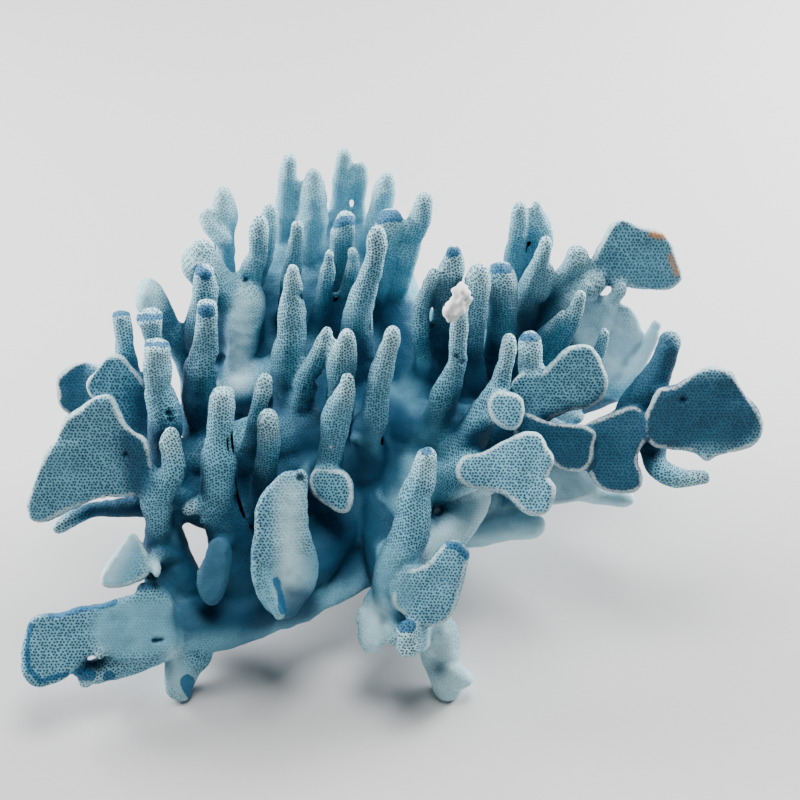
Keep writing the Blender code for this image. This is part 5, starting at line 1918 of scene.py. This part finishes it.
@dataclass(frozen=True)
class CoralStone:
    """The coral's matt, pored stone, with painted shade and painted light in its colour.

    Args:
        body: Colour of the fingers, between the pores.
        tips: Colour of the tips.
        painted_shade_colour: Painted shade, the dark blue painted into creases, shut-in places and shade
            spots.
        plates: Colour of the fans' faces, between the pores.
        rims: Colour of the fans' rims.
        pores: Colour inside the pores.
        breaks: Colour of broken places.
        bare_and_lit: Colour of the smooth pale undersides, which is also painted light on arms and fans in
            shade.
        crust: Colour of the chalky crust.
        rust: Colour of the rusty stain.
        pore_gap: Distance between pores, in millimetres.
        pore_drift: How far pores stray from even rows, from 0 to 1.
        pore_edge: Where the stone begins and a pore's floor ends, in pore gaps from its middle.
        deep: Millimetres behind the crown's face over which the pores fade.
        high: Metres above the floor over which painted light from above makes the fingers paler and the
            painted shade weaker.
        inner: Millimetres from the tip over which painted shade deepens down the fingers.
        shut: The shelter over which painted shade darkens the stone.
        sunken: Millimetres below its surroundings over which painted shade darkens the stone.
        proud: Millimetres above its surroundings over which the stone goes pale.
        tipped: Millimetres from the tip over which the fingers go pale.
        edge: Millimetres from a plate's outline over which its rim goes pale.
        edge_proud: Millimetres above its surroundings over which a rim shows.
        drift_scale: How fine the broad unevenness of the colours is.
        grain_scale: How fine their small unevenness is.
        relief: Depth of the pores and the grain, in millimetres.
        roughness: How matt the stone is.
        sheen: Strength of its highlights.
    """

    body: Colour = (0.19, 0.51, 0.67, 1.0)
    tips: Colour = (0.50, 0.82, 0.90, 1.0)
    painted_shade_colour: Colour = (0.003, 0.060, 0.13, 1.0)
    plates: Colour = (0.18, 0.46, 0.60, 1.0)
    rims: Colour = (0.72, 0.88, 0.90, 1.0)
    pores: Colour = (0.003, 0.045, 0.09, 1.0)
    breaks: Colour = (0.012, 0.14, 0.30, 1.0)
    bare_and_lit: Colour = (0.56, 0.84, 0.92, 1.0)
    crust: Colour = (0.86, 0.88, 0.86, 1.0)
    rust: Colour = (0.62, 0.28, 0.09, 1.0)
    pore_gap: float = 1.2
    pore_drift: float = 0.42
    pore_edge: Range = (0.37, 0.24)
    deep: Range = (20.0, 70.0)
    high: Range = (0.085, 0.115)
    inner: Range = (16.0, 56.0)
    shut: Range = (0.18, 0.56)
    sunken: Range = (0.1, -0.8)
    proud: Range = (0.5, 1.1)
    tipped: Range = (14.0, 3.0)
    edge: Range = (1.1, 0.2)
    edge_proud: Range = (0.1, 0.5)
    drift_scale: float = 110.0
    grain_scale: float = 700.0
    relief: float = 0.4
    roughness: float = 0.75
    sheen: float = 0.35

    def to_pore(self, nodes: Nodes) -> Value:
        """Measures the distance from the nearest pore, in slanting rows that keep off one another.

        Args:
            nodes: The material's nodes.

        Returns:
            The distance from the nearest pore's middle, in pore gaps.
        """
        flat = nodes.value("ShaderNodeUVMap", settings={"uv_map": "pores"})
        across, down, _ = nodes.axes(flat)
        across = across * (1.0 / MAP_SCALE / self.pore_gap)
        down = down * (1.0 / MAP_SCALE / self.pore_gap / ROW_HEIGHT)
        slant = nodes.value("ShaderNodeCombineXYZ", X=across - down * 0.5, Y=down)
        plane = {"voronoi_dimensions": "2D"}
        middle = nodes.value(
            "ShaderNodeTexVoronoi", "Position", plane, Vector=slant, Scale=1.0, Randomness=self.pore_drift
        )
        middle_across, middle_down, _ = nodes.axes(middle)
        off_down = down - middle_down
        off_across = across - down * 0.5 - middle_across + off_down * 0.5
        off_down = off_down * ROW_HEIGHT
        return (off_across * off_across + off_down * off_down) ** 0.5

    def material(self) -> bpy.types.Material:
        """Makes the material."""
        material = bpy.data.materials.new("coral_stone")
        nodes = Nodes(material)
        place = nodes.value("ShaderNodeTexCoord", "Object")
        drift = nodes.value("ShaderNodeTexNoise", Vector=place, Scale=self.drift_scale, Detail=3.0)
        grain = nodes.value("ShaderNodeTexNoise", Vector=place, Scale=self.grain_scale, Detail=2.0)
        _, _, level = nodes.axes(place)
        tip, plate, depth, convex, rim, shelter = map(
            nodes.number, ("tip", "plate", "depth", "convex", "rim", "shelter")
        )
        mark = {}
        for kind, edges in MARK_EDGES.items():
            reach = nodes.number(kind.value) + (drift - 0.5) * 2.0 + (grain - 0.5)
            mark[kind] = nodes.ramp(reach, *edges)
        # Bare smooth stone, partly painted light: it is pale and unshaded.
        bare_and_lit = mark[Mark.BARE_AND_LIT]
        # Painted shade: the spots where shadow falls.
        shade_spots = mark[Mark.PAINTED_SHADE]
        crust = mark[Mark.CRUST]

        deep = nodes.ramp(depth, *self.deep)
        # Painted light from above: higher up, the stone is paler and its painted shade weaker.
        high = nodes.ramp(level, *self.high)
        round_stone = (1 - plate) * (1 - shade_spots)
        # Painted shade: darker down the fingers away from their tips, and where the stone around shuts a
        # point in.
        inward = nodes.ramp(tip, *self.inner) * 0.3 * (1 - plate) * (1 - high)
        occlusion_shade = nodes.ramp(shelter + inward + (drift - 0.5) * 0.2, *self.shut)
        occlusion_shade = occlusion_shade * (1 - high * deep) * (1 - bare_and_lit * 0.85)
        # Painted shade in creases and hollow places.
        hollow = nodes.ramp(convex, *self.sunken) * (1 - high * deep)
        raised = nodes.ramp(convex + drift * 0.2, *self.proud)
        near_tip = nodes.ramp(tip + drift * 8, *self.tipped)
        rim = nodes.ramp(rim + (drift - 0.5) * 1.2 + (grain - 0.5) * 0.6, *self.edge)
        rim = rim * nodes.ramp(convex, *self.edge_proud)
        pored = (1 - deep * 0.7) * (1 - hollow * 0.5) * (1 - bare_and_lit * 0.8) * (1 - mark[Mark.WORN] * 0.8)
        pored = pored * (1 - crust) * (1 - rim * 0.7)
        pore = nodes.ramp(self.to_pore(nodes) + (drift - 0.5) * 0.2, *self.pore_edge) * pored

        # Several layers are painted: shade in creases, in shelter and in shade spots, and light on high
        # stone and on the pale smooth undersides.
        layers = (
            (plate * (1 - bare_and_lit), self.plates),
            (bare_and_lit * 0.9, self.bare_and_lit),
            (hollow * 0.8, self.painted_shade_colour),
            (raised * 0.4 * (1 - shade_spots), self.tips),
            (high * 0.4 * round_stone, self.tips),
            (near_tip * 0.8 * round_stone, self.tips),
            (occlusion_shade * 0.95, self.painted_shade_colour),
            (shade_spots * 0.88, self.painted_shade_colour),
            (rim * 0.7, self.rims),
            (mark[Mark.BREAK] * 0.92, self.breaks),
            (pore * 0.92, self.pores),
            (crust, self.crust),
            (mark[Mark.RUST] * 0.9, self.rust),
            (mark[Mark.PIT] * 0.9, self.pores),
        )
        colour: Any = self.body
        for share, over in layers:
            colour = nodes.mix(share, colour, over)

        height = (1 - pore) + drift * 0.3 + grain * 0.15
        bump = nodes.value("ShaderNodeBump", Strength=0.7, Distance=self.relief * MM, Height=height)
        shader = nodes.add(
            "ShaderNodeBsdfPrincipled", Base_Color=colour, Roughness=self.roughness, Normal=bump
        )
        shader.inputs["Specular IOR Level"].default_value = self.sheen
        nodes.add("ShaderNodeOutputMaterial", Surface=Value(nodes, shader.outputs[0]))
        return material


@dataclass
class Studio:
    """The floor, the soft lights and the camera.

    Args:
        lens: The camera's lens, in millimetres.
        sensor: Width of its sensor, in millimetres.
        distance: From the camera to the middle of the crown's face, in metres.
        rise: The camera's angle above the floor, in radians.
        light_size: Side of each square light, in metres.
        light_aim: Where the lights point, in metres.
        floor_size: Half the floor's side, in metres.
        floor_colour: The floor's colour.
        air: Colour of the light from all round.
        air_strength: Its strength.
    """

    lens: float = 75.0
    sensor: float = 36.0
    distance: float = 0.570
    rise: float = FACE_RISE
    light_size: float = 0.40
    light_aim: Point = (0.0, 0.0, 0.05)
    floor_size: float = 3.0
    floor_colour: Colour = (0.62, 0.62, 0.62, 1.0)
    air: Colour = (0.80, 0.85, 0.90, 1.0)
    air_strength: float = 0.06

    def build(self) -> None:
        """Makes the floor, the lights and the camera."""
        self.lay_floor()
        self.hang_light("window_right", (0.62, 0.42, 0.40), 19.0)
        self.hang_light("window_left", (-0.70, 0.22, 0.42), 16.0)
        self.hang_light("overhead", (0.05, 0.05, 0.95), 9.0)
        world = bpy.data.worlds.new("room")
        bpy.context.scene.world = world
        world.use_nodes = True
        background = world.node_tree.nodes["Background"]
        background.inputs["Color"].default_value = self.air
        background.inputs["Strength"].default_value = self.air_strength
        self.set_camera()

    def lay_floor(self) -> None:
        """Lays a plain pale floor."""
        mesh = bpy.data.meshes.new("floor")
        with edited(mesh) as bm:
            bmesh.ops.create_grid(bm, x_segments=1, y_segments=1, size=self.floor_size)
        floor = in_scene("floor", mesh)
        material = bpy.data.materials.new("floor_paper")
        nodes = Nodes(material)
        shader = nodes.value("ShaderNodeBsdfPrincipled", Base_Color=self.floor_colour, Roughness=0.9)
        nodes.add("ShaderNodeOutputMaterial", Surface=shader)
        mesh.materials.append(material)

    def hang_light(self, name: str, place: Point, power: float) -> None:
        """Hangs a square soft light that faces the coral.

        Args:
            name: The light's name.
            place: Where it hangs, in metres.
            power: Its power, in watts.
        """
        light = bpy.data.lights.new(name, "AREA")
        light.energy = power
        light.size = self.light_size
        lamp = in_scene(name, light)
        lamp.location = place
        aim = Vector(self.light_aim) - Vector(place)
        lamp.rotation_euler = aim.to_track_quat("-Z", "Y").to_euler()

    def set_camera(self) -> None:
        """Sets the camera in front of the crown's face and above the floor."""
        camera = bpy.data.cameras.new("camera")
        camera.lens = self.lens
        camera.sensor_width = self.sensor
        camera.clip_start = 0.01
        target = FACE_MIDDLE * MM
        away = Vector((0.0, -math.cos(self.rise), math.sin(self.rise)))
        eye = in_scene("camera", camera)
        eye.location = target + away * self.distance
        eye.rotation_euler = (-away).to_track_quat("-Z", "Y").to_euler()
        bpy.context.scene.camera = eye


def main() -> None:
    """Builds the coral, branch by branch, and the studio around it."""
    logging.basicConfig(level=logging.INFO, format="%(name)s: %(message)s")
    branches = [branch() for branch in BRANCHES]
    sizes = SkinSizes()
    skin = Skin(branches, sizes)
    stone = CoralStone().material()
    for branch, piece in zip(branches, split_off(skin)):
        branch.finish(piece)
        branch.dress(piece, stone)
    Studio().build()


if __name__ == "__main__":
    main()
